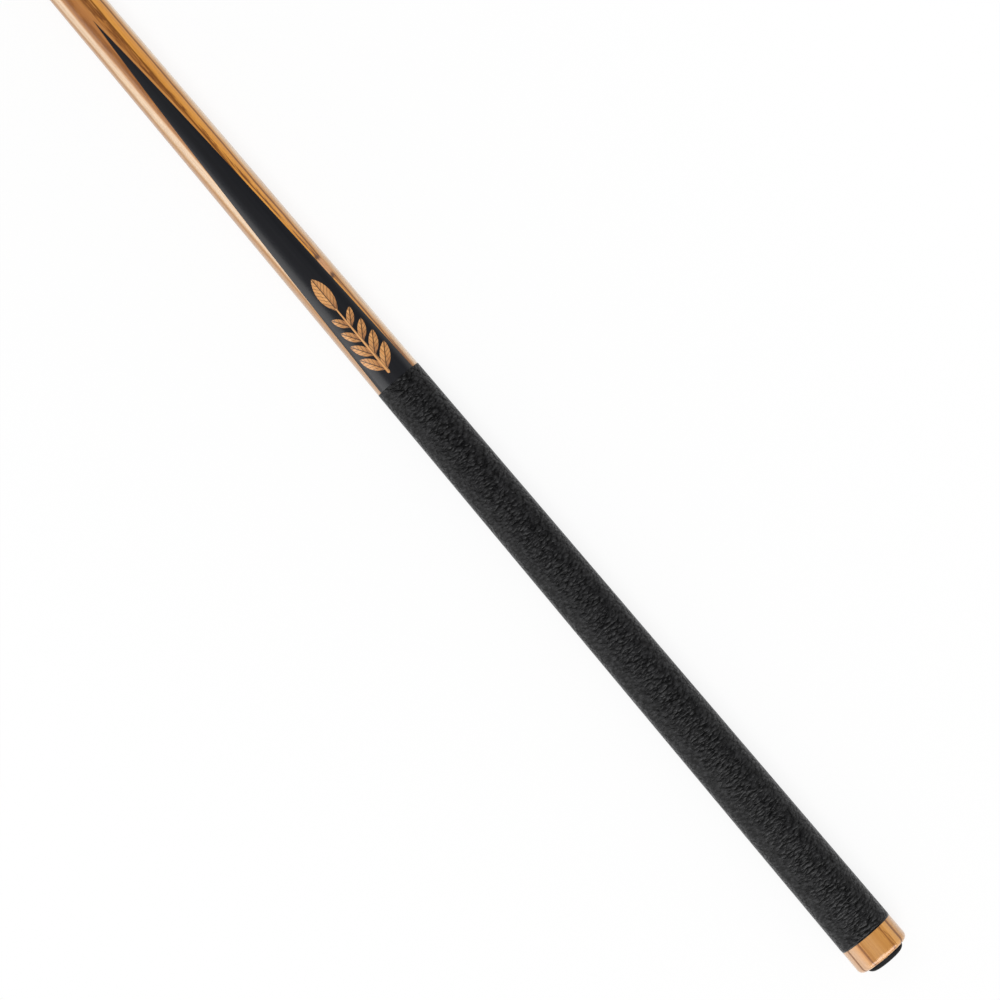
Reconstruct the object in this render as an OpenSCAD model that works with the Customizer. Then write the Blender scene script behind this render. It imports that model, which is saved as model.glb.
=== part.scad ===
// Two-piece pool cue, lying along the X axis. The origin is the middle of the bumper's end
// face and the leather tip points to +X. A short butt (bumper, sleeve, wrapped handle,
// forearm with two V-spliced points) screws to a long shaft with a pro taper.
// Every size is in millimetres. Places along the cue are distances from the bumper's face.

/* [Overall] */
// Length of the whole cue, bumper to tip
cue_length = 1473; // [1420:1:1540]
// Length of the butt, from the bumper to the joint face
butt_length = 737; // [715:1:765]

/* [Butt outline] */
// Diameter of the butt sleeve at its rear end
butt_end_d = 31.4; // [30:0.1:34]
// Diameter where the wrap meets the forearm
a_joint_d = 26.5; // [25.6:0.1:28]
// Diameter of the joint faces of butt and shaft
joint_d = 21.6; // [21:0.1:22.6]

/* [Bumper] */
// Diameter of the rubber bumper
bumper_d = 22.6; // [21:0.1:24]
// How far the bumper stands out of the sleeve
bumper_stands_out = 3.2; // [2.4:0.1:6]
// How deep the bumper's flange sits in the sleeve
bumper_seat_depth = 2.2; // [1.8:0.1:3]
// Diameter of the flat on the bumper's end face
bumper_flat_d = 13.5; // [10:0.1:17]
// Diameter of the stud's head, moulded into the rubber
stud_head_d = 16; // [14:0.1:18]
// Thickness of the stud's head
stud_head_t = 1.4; // [1:0.1:1.8]
// Rubber between the stud's head and the flange's inner face
stud_lip_t = 1.2; // [0.8:0.1:1.8]
// Length of thread that the stud screws into the handle
stud_reach = 13; // [10:0.5:16]

/* [Butt sleeve] */
// Length of wood between the bumper and the trim ring
sleeve_length = 14.9; // [12:0.1:40]
// Radius of the sleeve's rounded rear edge
sleeve_edge_r = 3; // [1:0.1:4]
// Thickness of the black trim ring in front of the sleeve
trim_ring_t = 0.8; // [0.5:0.1:3]

/* [Handle] */
// Length of the leather wrap
wrap_length = 375; // [300:1:400]
// Thickness of the leather
wrap_t = 1.2; // [0.8:0.1:2]
// How far the leather stands proud of the wood
wrap_proud = 0.1; // [0:0.05:0.3]
// Radius of the leather's pressed edges
wrap_edge_r = 0.35; // [0.1:0.05:0.6]
// Width of the seam where the leather's long edges meet
seam_w = 0.25; // [0.1:0.05:0.6]
// Diameter of the core's tenon inside the butt sleeve
core_tenon_d = 19; // [17:0.1:20]
// Diameter of the weight bolt and of the bumper's stud
weight_bolt_d = 9.5; // [9:0.1:10.4]
// Length of the weight bolt
weight_bolt_length = 76.2; // [25:0.1:100]
// Free thread between the bumper's stud and the weight bolt
weight_bolt_gap = 4; // [2:0.5:20]
// Width of the weight bolt's hexagon socket, corner to corner
weight_socket_d = 5.8; // [4:0.1:7]
// Depth of the weight bolt's hexagon socket
weight_socket_depth = 8; // [4:0.5:12]
// Bore left ahead of the weight bolt for a longer one
weight_spare = 20; // [2:1:60]

/* [A-joint] */
// Diameter of the steel stud that joins handle and forearm
a_stud_d = 9.5; // [8:0.1:11]
// Length of that stud
a_stud_length = 70; // [40:1:100]

/* [Points] */
// Length of the black points from the wrap to their tips
point_length = 243; // [180:1:280]
// Depth of the V-groove at the A-joint
point_depth = 13.5; // [11:0.1:14]
// Angle between the walls of the V-groove
point_v_angle = 106; // [96:1:112]

/* [Leaf inlay] */
// Clear black wood between the wrap and the stem's foot
inlay_clear = 5; // [3:0.5:12]
// Length of the leaf spray along the cue
inlay_length = 63; // [50:1:70]
// Depth of the inlay in the point
inlay_depth = 1; // [0.6:0.1:1.6]
// Length of the lowest and longest pair of leaves
leaf_length = 15; // [10:0.5:16]
// Width of a leaf as a share of its length
leaf_slimness = 0.36; // [0.25:0.01:0.45]
// Angle of the leaf pairs to the stem
leaf_angle = 33; // [24:1:36]
// Number of leaf pairs
leaf_pairs = 4; // [3:1:5]
// Width of the stem at its foot
stem_w = 1.6; // [1:0.1:2.4]

/* [Joint] */
// Length of the black collar on the butt
butt_collar_length = 25.4; // [15:0.1:35]
// Length of the black collar on the shaft
shaft_collar_length = 12.7; // [8:0.1:20]
// Thickness of the metal ring behind each collar
joint_ring_t = 2.4; // [1:0.1:5]
// Diameter of the wooden tenons inside the collars
collar_tenon_d = 17; // [16:0.1:18]
// Outside diameter of the joint pin's thread
pin_d = 9.5; // [9:0.1:10.5]
// How far the pin stands out of the butt
pin_stands_out = 27; // [24:0.5:30]
// How deep the pin is set into the forearm
pin_set_depth = 36; // [30:1:60]
// Diameter of the pin's plain pilot nose
pin_nose_d = 7.6; // [6:0.1:8.4]
// Length of the pilot nose
pin_nose_length = 4; // [2:0.5:8]
// Outside diameter of the brass insert in the shaft
insert_d = 13.5; // [13.1:0.1:14.2]
// Free bore ahead of the pin's nose
insert_spare = 3; // [1:0.5:8]

/* [Shaft] */
// Diameter of the ferrule and of the straight front stretch
tip_d = 12.75; // [11.5:0.05:13.5]
// Length of shaft behind the ferrule that doesn't taper
straight_length = 255; // [150:1:330]
// How strongly the taper gathers towards the joint
taper_power = 1.25; // [1:0.05:1.6]
// Length of the ferrule
ferrule_length = 25.4; // [12:0.1:30]
// Solid end of the ferrule ahead of the shaft's tenon
ferrule_cap_t = 5; // [2:0.5:8]
// Diameter of the shaft's tenon inside the ferrule
ferrule_tenon_d = 8; // [6:0.1:9]
// Thickness of the fibre pad under the tip
pad_t = 0.8; // [0.4:0.1:1.6]
// Height of the leather tip in its middle
tip_height = 6.2; // [4:0.1:8]
// Radius of the tip's crown
tip_crown_r = 10.6; // [9:0.1:14]

/* [Fits] */
// Radial room for glue between parts that never move
glue_gap = 0.03; // [0.01:0.01:0.08]
// Radial clearance of parts that turn or screw
running_gap = 0.05; // [0.02:0.01:0.1]

/* [Hidden] */
$fn = 96;
// cuts run this far past the face they open
past = 1;
// turning stations along the forearm and along the shaft's taper
forearm_stations = 18;
shaft_stations = 16;

// places along the cue
sleeve_x = bumper_stands_out;
flange_x = sleeve_x + bumper_seat_depth;
trim_ring_x = sleeve_x + sleeve_length;
wrap_x = trim_ring_x + trim_ring_t;
a_joint_x = wrap_x + wrap_length;
butt_ring_x = butt_length - butt_collar_length - joint_ring_t;
butt_collar_x = butt_length - butt_collar_length;
shaft_ring_x = butt_length + shaft_collar_length;
shaft_wood_x = shaft_ring_x + joint_ring_t;
tip_x = cue_length - tip_height;
pad_x = tip_x - pad_t;
ferrule_x = pad_x - ferrule_length;
straight_x = ferrule_x - straight_length;

// bumper, weight bolt and A-joint stud
stud_head_x = flange_x - stud_lip_t - stud_head_t;
stud_end_x = flange_x + stud_reach;
weight_bolt_x = stud_end_x + weight_bolt_gap;
weight_bore_end_x = weight_bolt_x + weight_bolt_length + weight_spare;
a_stud_x = a_joint_x - a_stud_length / 2;

// joint
pin_x = butt_length - pin_set_depth;
pin_end_x = butt_length + pin_stands_out;
insert_end_x = pin_end_x + insert_spare;

// radii that mating parts share
running_bolt_r = weight_bolt_d / 2 + running_gap;
core_tenon_r = core_tenon_d / 2;
collar_tenon_r = collar_tenon_d / 2;
bumper_r = bumper_d / 2;

// leaf spray
stem_foot_x = a_joint_x + inlay_clear;
top_leaf_length = inlay_length * 0.34;
stem_length = inlay_length - top_leaf_length;
leaf_step = stem_length / (leaf_pairs + 0.4);

function lerp(a, b, t) = a + (b - a) * t;

// Radius of the butt's outside: one cone for the handle and one for the forearm.
function butt_r(x) =
    x < a_joint_x
    ? lerp(butt_end_d, a_joint_d, (x - sleeve_x) / (a_joint_x - sleeve_x)) / 2
    : lerp(a_joint_d, joint_d, (x - a_joint_x) / (butt_length - a_joint_x)) / 2;

// Radius of the shaft's outside: straight behind the ferrule, then opening to the joint.
function shaft_r(x) =
    x > straight_x
    ? tip_d / 2
    : lerp(tip_d, joint_d, pow((straight_x - x) / (straight_x - butt_length), taper_power)) / 2;

// Points along the butt's outside at even steps from x0 to x1.
function stations(x0, x1, steps) =
    [for (i = [0:steps]) let (x = lerp(x0, x1, i / steps)) [butt_r(x), x]];

// Points of a quarter ellipse, from [r_in, x] out to [r_out, x + depth].
function rounded_edge(r_in, r_out, x, depth, steps = 12) =
    [for (i = [0:steps]) let (a = 90 * i / steps)
        [r_in + (r_out - r_in) * sin(a), x + depth * (1 - cos(a))]];

// A solid turned about the cue's axis, from [radius, place] points.
module turned(points) {
    rotate([0, 90, 0]) rotate_extrude() polygon(points);
}

// A straight bore or bar on the cue's axis.
module bar(x0, x1, r) {
    translate([x0, 0, 0]) rotate([0, 90, 0]) cylinder(h = x1 - x0, r = r);
}

// A ring on a tenon, its outside following the butt's cone.
module butt_band(x0, x1, bore_r) {
    turned([[bore_r, x0], [butt_r(x0), x0], [butt_r(x1), x1], [bore_r, x1]]);
}

// A ring on the shaft's tenon, its outside following the shaft's taper.
module shaft_band(x0, x1, bore_r) {
    turned([[bore_r, x0], [shaft_r(x0), x0], [shaft_r(x1), x1], [bore_r, x1]]);
}

// Rubber bumper: a domed flange, half sunk in the sleeve, moulded round the stud's head.
module bumper() {
    head_r = stud_head_d / 2 + running_gap;
    color("#1b1b1d") turned(concat(
        [[0, 0]],
        rounded_edge(bumper_flat_d / 2, bumper_r, 0, bumper_stands_out),
        [
            [bumper_r, flange_x],
            [running_bolt_r, flange_x],
            [running_bolt_r, flange_x - stud_lip_t + running_gap],
            [head_r, flange_x - stud_lip_t + running_gap],
            [head_r, stud_head_x - running_gap],
            [0, stud_head_x - running_gap]
        ]
    ));
}

// Steel stud of the bumper, with a flat head and a chamfered end.
module bumper_stud() {
    stud_r = weight_bolt_d / 2;
    chamfer = stud_reach / 10;
    color("#8f9194") turned([
        [0, stud_head_x],
        [stud_head_d / 2, stud_head_x],
        [stud_head_d / 2, stud_head_x + stud_head_t],
        [stud_r, stud_head_x + stud_head_t],
        [stud_r, stud_end_x - chamfer],
        [stud_r - chamfer, stud_end_x],
        [0, stud_end_x]
    ]);
}

// Wooden butt sleeve, glued over the core's tenon, with a seat for the bumper.
module butt_sleeve() {
    bore_r = core_tenon_r + glue_gap;
    seat_r = bumper_r + running_gap;
    edge = min(sleeve_edge_r, butt_end_d / 2 - seat_r - 0.5);
    color("#cf8f4a") turned(concat(
        [[bore_r, flange_x], [seat_r, flange_x], [seat_r, sleeve_x]],
        rounded_edge(butt_end_d / 2 - edge, butt_r(sleeve_x + edge), sleeve_x, edge),
        [[butt_r(trim_ring_x), trim_ring_x], [bore_r, trim_ring_x]]
    ));
}

// Thin black ring between the sleeve and the wrap.
module trim_ring() {
    color("#161616") butt_band(trim_ring_x, wrap_x, core_tenon_r + glue_gap);
}

// Maple core of the handle: rear tenon, bed for the leather, weight bore and stud bore.
module handle_core() {
    sunk = wrap_t - wrap_proud + glue_gap;
    color("#d9b98a") difference() {
        turned([
            [0, flange_x],
            [core_tenon_r, flange_x],
            [core_tenon_r, wrap_x],
            [butt_r(wrap_x) - sunk, wrap_x],
            [butt_r(a_joint_x) - sunk, a_joint_x],
            [0, a_joint_x]
        ]);
        bar(flange_x - past, weight_bore_end_x, running_bolt_r);
        bar(a_stud_x - past, a_joint_x + past, a_stud_d / 2 + glue_gap);
    }
}

// Leather wrap: a thin tapered tube with pressed edges and one long seam underneath.
module wrap() {
    outer0 = butt_r(wrap_x) + wrap_proud;
    outer1 = butt_r(a_joint_x) + wrap_proud;
    front_edge = [for (p = rounded_edge(outer1 - wrap_edge_r, outer1, 0, wrap_edge_r, 5))
        [p[0], a_joint_x - p[1]]];
    color("#2b2a2b") difference() {
        turned(concat(
            [[outer0 - wrap_t, wrap_x]],
            rounded_edge(outer0 - wrap_edge_r, outer0, wrap_x, wrap_edge_r, 5),
            [for (i = [len(front_edge) - 1:-1:0]) front_edge[i]],
            [[outer1 - wrap_t, a_joint_x]]
        ));
        translate([wrap_x - past, -seam_w / 2, -butt_end_d])
            cube([wrap_length + 2 * past, seam_w, butt_end_d]);
    }
}

// Steel weight bolt with a hexagon socket that faces the bumper.
module weight_bolt() {
    color("#7d7f83") difference() {
        bar(weight_bolt_x, weight_bolt_x + weight_bolt_length, weight_bolt_d / 2);
        translate([weight_bolt_x - past, 0, 0]) rotate([0, 90, 0])
            cylinder(h = weight_socket_depth + past, d = weight_socket_d, $fn = 6);
    }
}

// Steel stud that joins the handle's core to the forearm.
module a_joint_stud() {
    color("#8f9194") bar(a_stud_x, a_stud_x + a_stud_length, a_stud_d / 2);
}

// The forearm's whole outside with its points: cone, tenon for ring and collar, and bores.
module forearm_blank() {
    difference() {
        turned(concat(
            [[0, a_joint_x]],
            stations(a_joint_x, butt_ring_x, forearm_stations),
            [
                [collar_tenon_r, butt_ring_x],
                [collar_tenon_r, butt_length],
                [0, butt_length]
            ]
        ));
        bar(a_joint_x - past, a_stud_x + a_stud_length + past, a_stud_d / 2 + glue_gap);
        bar(pin_x - past, butt_length + past, pin_d / 2 + glue_gap);
    }
}

// The V-shaped wedge that the splice cutter clears, its keel rising from the groove's
// full depth at the A-joint to the surface at the point's tip.
module splice_wedge() {
    tip_r = butt_r(a_joint_x + point_length);
    keel_z = butt_r(a_joint_x) - point_depth;
    rise = atan((tip_r - keel_z) / point_length);
    reach = a_joint_d;
    half_w = reach * tan(point_v_angle / 2);
    translate([a_joint_x, 0, keel_z]) rotate([0, -rise, 0])
        translate([-point_depth, 0, 0]) rotate([90, 0, 90])
        linear_extrude(height = point_length + 2 * point_depth)
        polygon([[0, 0], [half_w, reach], [-half_w, reach]]);
}

// A pointed leaf lying along +X from its base at the origin.
module leaf(length) {
    width = length * leaf_slimness;
    arc_r = (length * length + width * width) / (4 * width);
    intersection() {
        translate([length / 2, width / 2 - arc_r]) circle(arc_r);
        translate([length / 2, arc_r - width / 2]) circle(arc_r);
    }
}

// Outline of the leaf spray: stem, leaf pairs that shrink upwards, and a top leaf.
module leaf_spray() {
    polygon([
        [0, -stem_w / 2], [0, stem_w / 2],
        [stem_length + stem_w, stem_w / 4], [stem_length + stem_w, -stem_w / 4]
    ]);
    translate([stem_length, 0]) leaf(top_leaf_length);
    for (i = [0:leaf_pairs - 1], side = [-1, 1])
        translate([leaf_step * (i + 0.25), 0]) rotate(side * leaf_angle)
            leaf(leaf_length * (1 - 0.36 * i / leaf_pairs));
}

// The spray's pieces of light wood, flush with the point and inlay_depth thick.
module inlay_pieces() {
    floor_x0 = a_joint_x - past;
    floor_x1 = stem_foot_x + inlay_length + past;
    difference() {
        intersection() {
            forearm_blank();
            translate([stem_foot_x, 0, 0]) linear_extrude(height = a_joint_d) leaf_spray();
        }
        turned([
            [0, floor_x0],
            [butt_r(a_joint_x) - inlay_depth, floor_x0],
            [butt_r(floor_x1) - inlay_depth, floor_x1],
            [0, floor_x1]
        ]);
    }
}

// A black point: the forearm's outside inside the V-wedge, less the inlay's recess.
module point() {
    difference() {
        intersection() {
            forearm_blank();
            splice_wedge();
        }
        inlay_pieces();
    }
}

// Turns a front piece round to the back of the cue.
module to_back() {
    rotate([180, 0, 0]) children();
}

// Golden forearm wood with a V-groove for each point.
module forearm() {
    color("#cf8f4a") difference() {
        forearm_blank();
        splice_wedge();
        to_back() splice_wedge();
    }
}

module point_front() { color("#151515") point(); }
module point_back() { color("#151515") to_back() point(); }
module inlay_front() { color("#e0a868") inlay_pieces(); }
module inlay_back() { color("#e0a868") to_back() inlay_pieces(); }

// Metal ring behind the butt's collar.
module butt_ring() {
    color("#b9bbbd") butt_band(butt_ring_x, butt_collar_x, collar_tenon_r + glue_gap);
}

// Black collar that keeps the butt's tenon from splitting.
module butt_collar() {
    color("#161616") butt_band(butt_collar_x, butt_length, collar_tenon_r + glue_gap);
}

// Steel joint pin, set in the forearm, with a plain pilot nose.
module joint_pin() {
    nose_x = pin_end_x - pin_nose_length;
    slope = (pin_d - pin_nose_d) / 2;
    color("#b0b2b5") turned(concat(
        [
            [0, pin_x],
            [pin_d / 2, pin_x],
            [pin_d / 2, nose_x - slope],
            [pin_nose_d / 2, nose_x],
            [pin_nose_d / 2, pin_end_x - pin_nose_length / 4]
        ],
        [[pin_nose_d / 2 - pin_nose_length / 4, pin_end_x], [0, pin_end_x]]
    ));
}

// Black collar on the shaft's rear tenon.
module shaft_collar() {
    color("#161616") shaft_band(butt_length, shaft_ring_x, collar_tenon_r + glue_gap);
}

// Metal ring in front of the shaft's collar.
module shaft_ring() {
    color("#b9bbbd") shaft_band(shaft_ring_x, shaft_wood_x, collar_tenon_r + running_gap);
}

// Brass insert that takes the joint pin.
module joint_insert() {
    color("#c9a24e") turned([
        [pin_d / 2 + running_gap, butt_length],
        [insert_d / 2, butt_length],
        [insert_d / 2, insert_end_x],
        [pin_d / 2 + running_gap, insert_end_x]
    ]);
}

// Maple shaft: rear tenon with the insert's bore, pro taper, straight stretch, tip tenon.
module shaft() {
    tenon_r = ferrule_tenon_d / 2;
    tenon_end_x = pad_x - ferrule_cap_t - glue_gap;
    taper = [for (i = [0:shaft_stations])
        let (x = lerp(shaft_wood_x, straight_x, i / shaft_stations)) [shaft_r(x), x]];
    color("#e2c193") difference() {
        turned(concat(
            [[0, butt_length], [collar_tenon_r, butt_length], [collar_tenon_r, shaft_wood_x]],
            taper,
            [
                [tip_d / 2, ferrule_x],
                [tenon_r, ferrule_x],
                [tenon_r, tenon_end_x],
                [0, tenon_end_x]
            ]
        ));
        bar(butt_length - past, insert_end_x + glue_gap, insert_d / 2 + glue_gap);
    }
}

// White ferrule, a capped sleeve on the shaft's front tenon.
module ferrule() {
    bore_r = ferrule_tenon_d / 2 + glue_gap;
    color("#ece9e0") turned([
        [bore_r, ferrule_x],
        [tip_d / 2, ferrule_x],
        [tip_d / 2, pad_x],
        [0, pad_x],
        [0, pad_x - ferrule_cap_t],
        [bore_r, pad_x - ferrule_cap_t]
    ]);
}

// Fibre pad between ferrule and tip.
module tip_pad() {
    color("#a8342c") bar(pad_x, tip_x, tip_d / 2);
}

// Leather tip with a domed crown.
module tip() {
    half = asin(tip_d / 2 / tip_crown_r);
    centre_x = cue_length - tip_crown_r;
    steps = 12;
    crown = [for (i = [steps:-1:0]) let (a = half * i / steps)
        [tip_crown_r * sin(a), centre_x + tip_crown_r * cos(a)]];
    color("#3f6f86") turned(concat([[0, tip_x], [tip_d / 2, tip_x]], crown));
}

bumper();
bumper_stud();
butt_sleeve();
trim_ring();
handle_core();
wrap();
weight_bolt();
a_joint_stud();
forearm();
point_front();
point_back();
inlay_front();
inlay_back();
butt_ring();
butt_collar();
joint_pin();
shaft_collar();
shaft_ring();
joint_insert();
shaft();
ferrule();
tip_pad();
tip();
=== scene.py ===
"""The finish of a two-piece pool cue: wood, leather, rubber and metal, and the studio round it.

The cue lies along X, with the middle of the bumper's end face at the origin and the leather
tip at the far end. Lengths are in metres. Each sub-assembly is a class that makes its own
pieces and dresses the solids that it carries.
"""
import logging
import math
from collections.abc import Callable, Sequence
from dataclasses import dataclass, field
from enum import Enum
from functools import cache, reduce
from typing import Protocol

import bmesh
import bpy
import numpy as np
from mathutils import Matrix, Vector


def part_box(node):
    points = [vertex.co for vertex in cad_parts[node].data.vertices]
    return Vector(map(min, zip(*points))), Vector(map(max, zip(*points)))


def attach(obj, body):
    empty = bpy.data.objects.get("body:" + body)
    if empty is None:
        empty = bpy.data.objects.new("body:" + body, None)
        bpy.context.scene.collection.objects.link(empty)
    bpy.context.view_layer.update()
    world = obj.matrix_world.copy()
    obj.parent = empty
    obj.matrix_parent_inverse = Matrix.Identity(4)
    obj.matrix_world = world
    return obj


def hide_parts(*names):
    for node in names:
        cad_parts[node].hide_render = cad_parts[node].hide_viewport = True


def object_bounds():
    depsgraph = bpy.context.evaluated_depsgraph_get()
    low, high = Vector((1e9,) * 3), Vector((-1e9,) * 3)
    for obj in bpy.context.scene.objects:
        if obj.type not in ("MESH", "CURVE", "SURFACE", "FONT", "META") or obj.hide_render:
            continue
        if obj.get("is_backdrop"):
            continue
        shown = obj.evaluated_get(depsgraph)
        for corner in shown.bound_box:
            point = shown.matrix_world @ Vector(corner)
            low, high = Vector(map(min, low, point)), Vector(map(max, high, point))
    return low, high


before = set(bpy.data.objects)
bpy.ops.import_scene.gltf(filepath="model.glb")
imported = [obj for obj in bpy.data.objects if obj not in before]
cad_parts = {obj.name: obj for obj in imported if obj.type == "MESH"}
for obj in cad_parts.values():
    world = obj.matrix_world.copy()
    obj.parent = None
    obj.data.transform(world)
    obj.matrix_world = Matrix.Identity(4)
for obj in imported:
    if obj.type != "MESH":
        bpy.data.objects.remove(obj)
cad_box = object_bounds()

log = logging.getLogger("pool_cue")

MM = 0.001
TURN = 2 * math.pi
WHITE = (1.0, 1.0, 1.0)

Colour = tuple[float, float, float]
Spot = tuple[float, float, float]
Corners = list[Sequence[float]]


class Body(Enum):
    """The rigid bodies that pieces ride on."""

    BUTT = "butt"
    BUMPER = "bumper"
    STUD = "bumper_stud"
    RING = "shaft_ring"
    SHAFT = "shaft"


# ---------------------------------------------------------------------------- shader tools


class Field:
    """A number that varies over a surface. Its operators add Math nodes to the tree."""

    def __init__(self, shader: "Shader", socket: bpy.types.NodeSocket) -> None:
        """Wraps an output socket of a shader's tree."""
        self.shader = shader
        self.socket = socket

    def _math(self, operation: str, *values: "Field | float", clamp: bool = False) -> "Field":
        """Adds one Math node.

        Args:
            operation: the Math node's operation.
            values: its inputs in order.
            clamp: whether the result is held between 0 and 1.

        Returns:
            The node's result.
        """
        settings = {"operation": operation, "use_clamp": clamp}
        return self.shader.field("ShaderNodeMath", settings, dict(enumerate(values)))

    def __add__(self, other: "Field | float") -> "Field":
        """self + other."""
        return self._math("ADD", self, other)

    __radd__ = __add__

    def __sub__(self, other: "Field | float") -> "Field":
        """self - other."""
        return self._math("SUBTRACT", self, other)

    def __rsub__(self, other: "Field | float") -> "Field":
        """other - self."""
        return self._math("SUBTRACT", other, self)

    def __mul__(self, other: "Field | float") -> "Field":
        """self * other."""
        return self._math("MULTIPLY", self, other)

    __rmul__ = __mul__

    def __truediv__(self, other: "Field | float") -> "Field":
        """self / other."""
        return self._math("DIVIDE", self, other)

    def __abs__(self) -> "Field":
        """The distance of self from zero."""
        return self._math("ABSOLUTE", self)

    def sine(self) -> "Field":
        """The sine of self, in radians."""
        return self._math("SINE", self)

    def greater(self, other: "Field | float") -> "Field":
        """The larger of self and other."""
        return self._math("MAXIMUM", self, other)

    def ramp(self, low: float, high: float) -> "Field":
        """0 at low and 1 at high, straight in between and held beyond; low may be the larger."""
        return self._math("MULTIPLY", self - low, 1.0 / (high - low), clamp=True)

    def band(self, middle: float, half: float, soft: float) -> "Field":
        """1 within half of middle, falling to 0 over soft on both sides."""
        return abs(self - middle).ramp(half + soft, half)


class Shader:
    """The node tree of a material or a world, with one method that makes every node."""

    def __init__(self, name: str, owner: bpy.types.ID | None = None) -> None:
        """Starts an empty tree.

        Args:
            name: the name of the new material that holds it.
            owner: what holds it instead of a new material.
        """
        self.owner = owner or bpy.data.materials.new(name)
        self.owner.use_nodes = True
        self.tree = self.owner.node_tree
        self.tree.nodes.clear()
        self.place = self.node("ShaderNodeTexCoord").outputs["Object"]

    def node(
        self,
        kind: str,
        settings: dict[str, object] | None = None,
        sockets: dict[str | int, object] | None = None,
    ) -> bpy.types.Node:
        """Makes a node, sets it up and feeds its sockets.

        Args:
            kind: the node's Blender type.
            settings: its properties; "stops" holds a colour ramp's (place, colour) pairs.
            sockets: a value, a Field or another node's output for each input by name or place.

        Returns:
            The new node.
        """
        made = self.tree.nodes.new(kind)
        for name, value in (settings or {}).items():
            if name == "stops":
                self._set_stops(made.color_ramp, value)
            else:
                setattr(made, name, value)
        for name, value in (sockets or {}).items():
            self._feed(made.inputs[name], value)
        return made

    def _feed(self, socket: bpy.types.NodeSocket, value: object) -> None:
        """Gives an input what it takes.

        Args:
            socket: the input.
            value: a Field or an output to link, or the input's own value.
        """
        if isinstance(value, Field):
            value = value.socket
        if isinstance(value, bpy.types.NodeSocket):
            self.tree.links.new(value, socket)
        elif socket.type == "RGBA" and len(value) == 3:
            socket.default_value = (*value, 1.0)
        else:
            socket.default_value = value

    @staticmethod
    def _set_stops(ramp: bpy.types.ColorRamp, stops: list[tuple[float, Colour]]) -> None:
        """Gives a colour ramp its stops.

        Args:
            ramp: the ramp.
            stops: the place and colour of each stop, in order.
        """
        while len(ramp.elements) < len(stops):
            ramp.elements.new(1.0)
        for element, (place, colour) in zip(ramp.elements, stops, strict=True):
            element.position = place
            element.color = (*colour, 1.0)

    def axes(self, vector: bpy.types.NodeSocket | None = None) -> tuple[Field, Field, Field]:
        """The three parts of a vector, by default of the place in the cue's own frame."""
        split = self.node("ShaderNodeSeparateXYZ", None, {0: vector or self.place})
        return tuple(Field(self, out) for out in split.outputs)

    def field(
        self,
        kind: str,
        settings: dict[str, object] | None,
        sockets: dict[str | int, object] | None,
        output: str | int = 0,
    ) -> Field:
        """Makes a node as node does, and gives one of its outputs as a Field."""
        return Field(self, self.node(kind, settings, sockets).outputs[output])

    def attribute(self, name: str) -> Field:
        """A number that the piece's mesh holds at each of its points."""
        return self.field("ShaderNodeAttribute", {"attribute_name": name}, None, "Fac")

    def skin(self, name: str) -> bpy.types.NodeSocket:
        """The place on the piece's own UV map."""
        return self.node("ShaderNodeUVMap", {"uv_map": name}).outputs[0]

    def from_axis(self) -> Field:
        """The distance from the cue's axis."""
        sockets = {0: self.stretched(0, 1, 1)}
        return self.field("ShaderNodeVectorMath", {"operation": "LENGTH"}, sockets, "Value")

    def sight(self) -> tuple[Field, Field]:
        """What looks at a place.

        Returns:
            1 for the camera or a look through glass, and 1 for a reflection.
        """
        path = self.node("ShaderNodeLightPath").outputs
        seen = Field(self, path["Is Camera Ray"]).greater(Field(self, path["Is Transmission Ray"]))
        return seen, Field(self, path["Is Glossy Ray"])

    def stretched(
        self, x: float, y: float, z: float, vector: bpy.types.NodeSocket | None = None
    ) -> bpy.types.NodeSocket:
        """The place multiplied by a factor per axis, in features per metre."""
        sockets = {0: vector or self.place, 1: (x, y, z)}
        return self.node("ShaderNodeVectorMath", {"operation": "MULTIPLY"}, sockets).outputs[0]

    def noise(
        self,
        vector: bpy.types.NodeSocket,
        detail: float = 2.0,
        roughness: float = 0.5,
        distortion: float = 0.0,
    ) -> Field:
        """Soft noise with one feature per unit of the vector.

        Args:
            vector: the place, in features.
            detail: how many finer layers of noise are added.
            roughness: how much each finer layer counts.
            distortion: how far the noise is warped, in features.

        Returns:
            The noise, between 0 and 1.
        """
        sockets = {
            "Vector": vector,
            "Scale": 1.0,
            "Detail": detail,
            "Roughness": roughness,
            "Distortion": distortion,
        }
        return self.field("ShaderNodeTexNoise", None, sockets)

    def cells(self, vector: bpy.types.NodeSocket) -> Field:
        """The distance from the middle of the nearest cell, one cell per unit of the vector."""
        sockets = {"Vector": vector, "Scale": 1.0}
        return self.field("ShaderNodeTexVoronoi", {"feature": "F1"}, sockets, "Distance")

    def blend(self, share: Field | float, a: object, b: object) -> bpy.types.NodeSocket:
        """Colour a where share is 0 and colour b where it is 1."""
        settings = {"data_type": "RGBA", "clamp_factor": True}
        return self.node("ShaderNodeMix", settings, {0: share, 6: a, 7: b}).outputs[2]

    def marked(self, colour: object, *marks: tuple[Field | float, object]) -> bpy.types.NodeSocket:
        """Lays marks over a colour.

        Args:
            colour: what lies under the marks.
            marks: the share and colour of each mark, the lowest first.

        Returns:
            The marked colour.
        """
        for share, mark in marks:
            colour = self.blend(share, colour, mark)
        return colour

    def colours(self, value: Field, *stops: tuple[float, Colour]) -> bpy.types.NodeSocket:
        """A colour picked along a ramp by its stops' places and colours."""
        return self.node("ShaderNodeValToRGB", {"stops": stops}, {0: value}).outputs[0]

    def bump(self, height: Field, depth: float, strength: float = 1.0) -> bpy.types.NodeSocket:
        """A normal from a height between 0 and 1, depth metres deep."""
        sockets = {"Height": height, "Distance": depth, "Strength": strength}
        return self.node("ShaderNodeBump", None, sockets).outputs[0]

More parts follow.
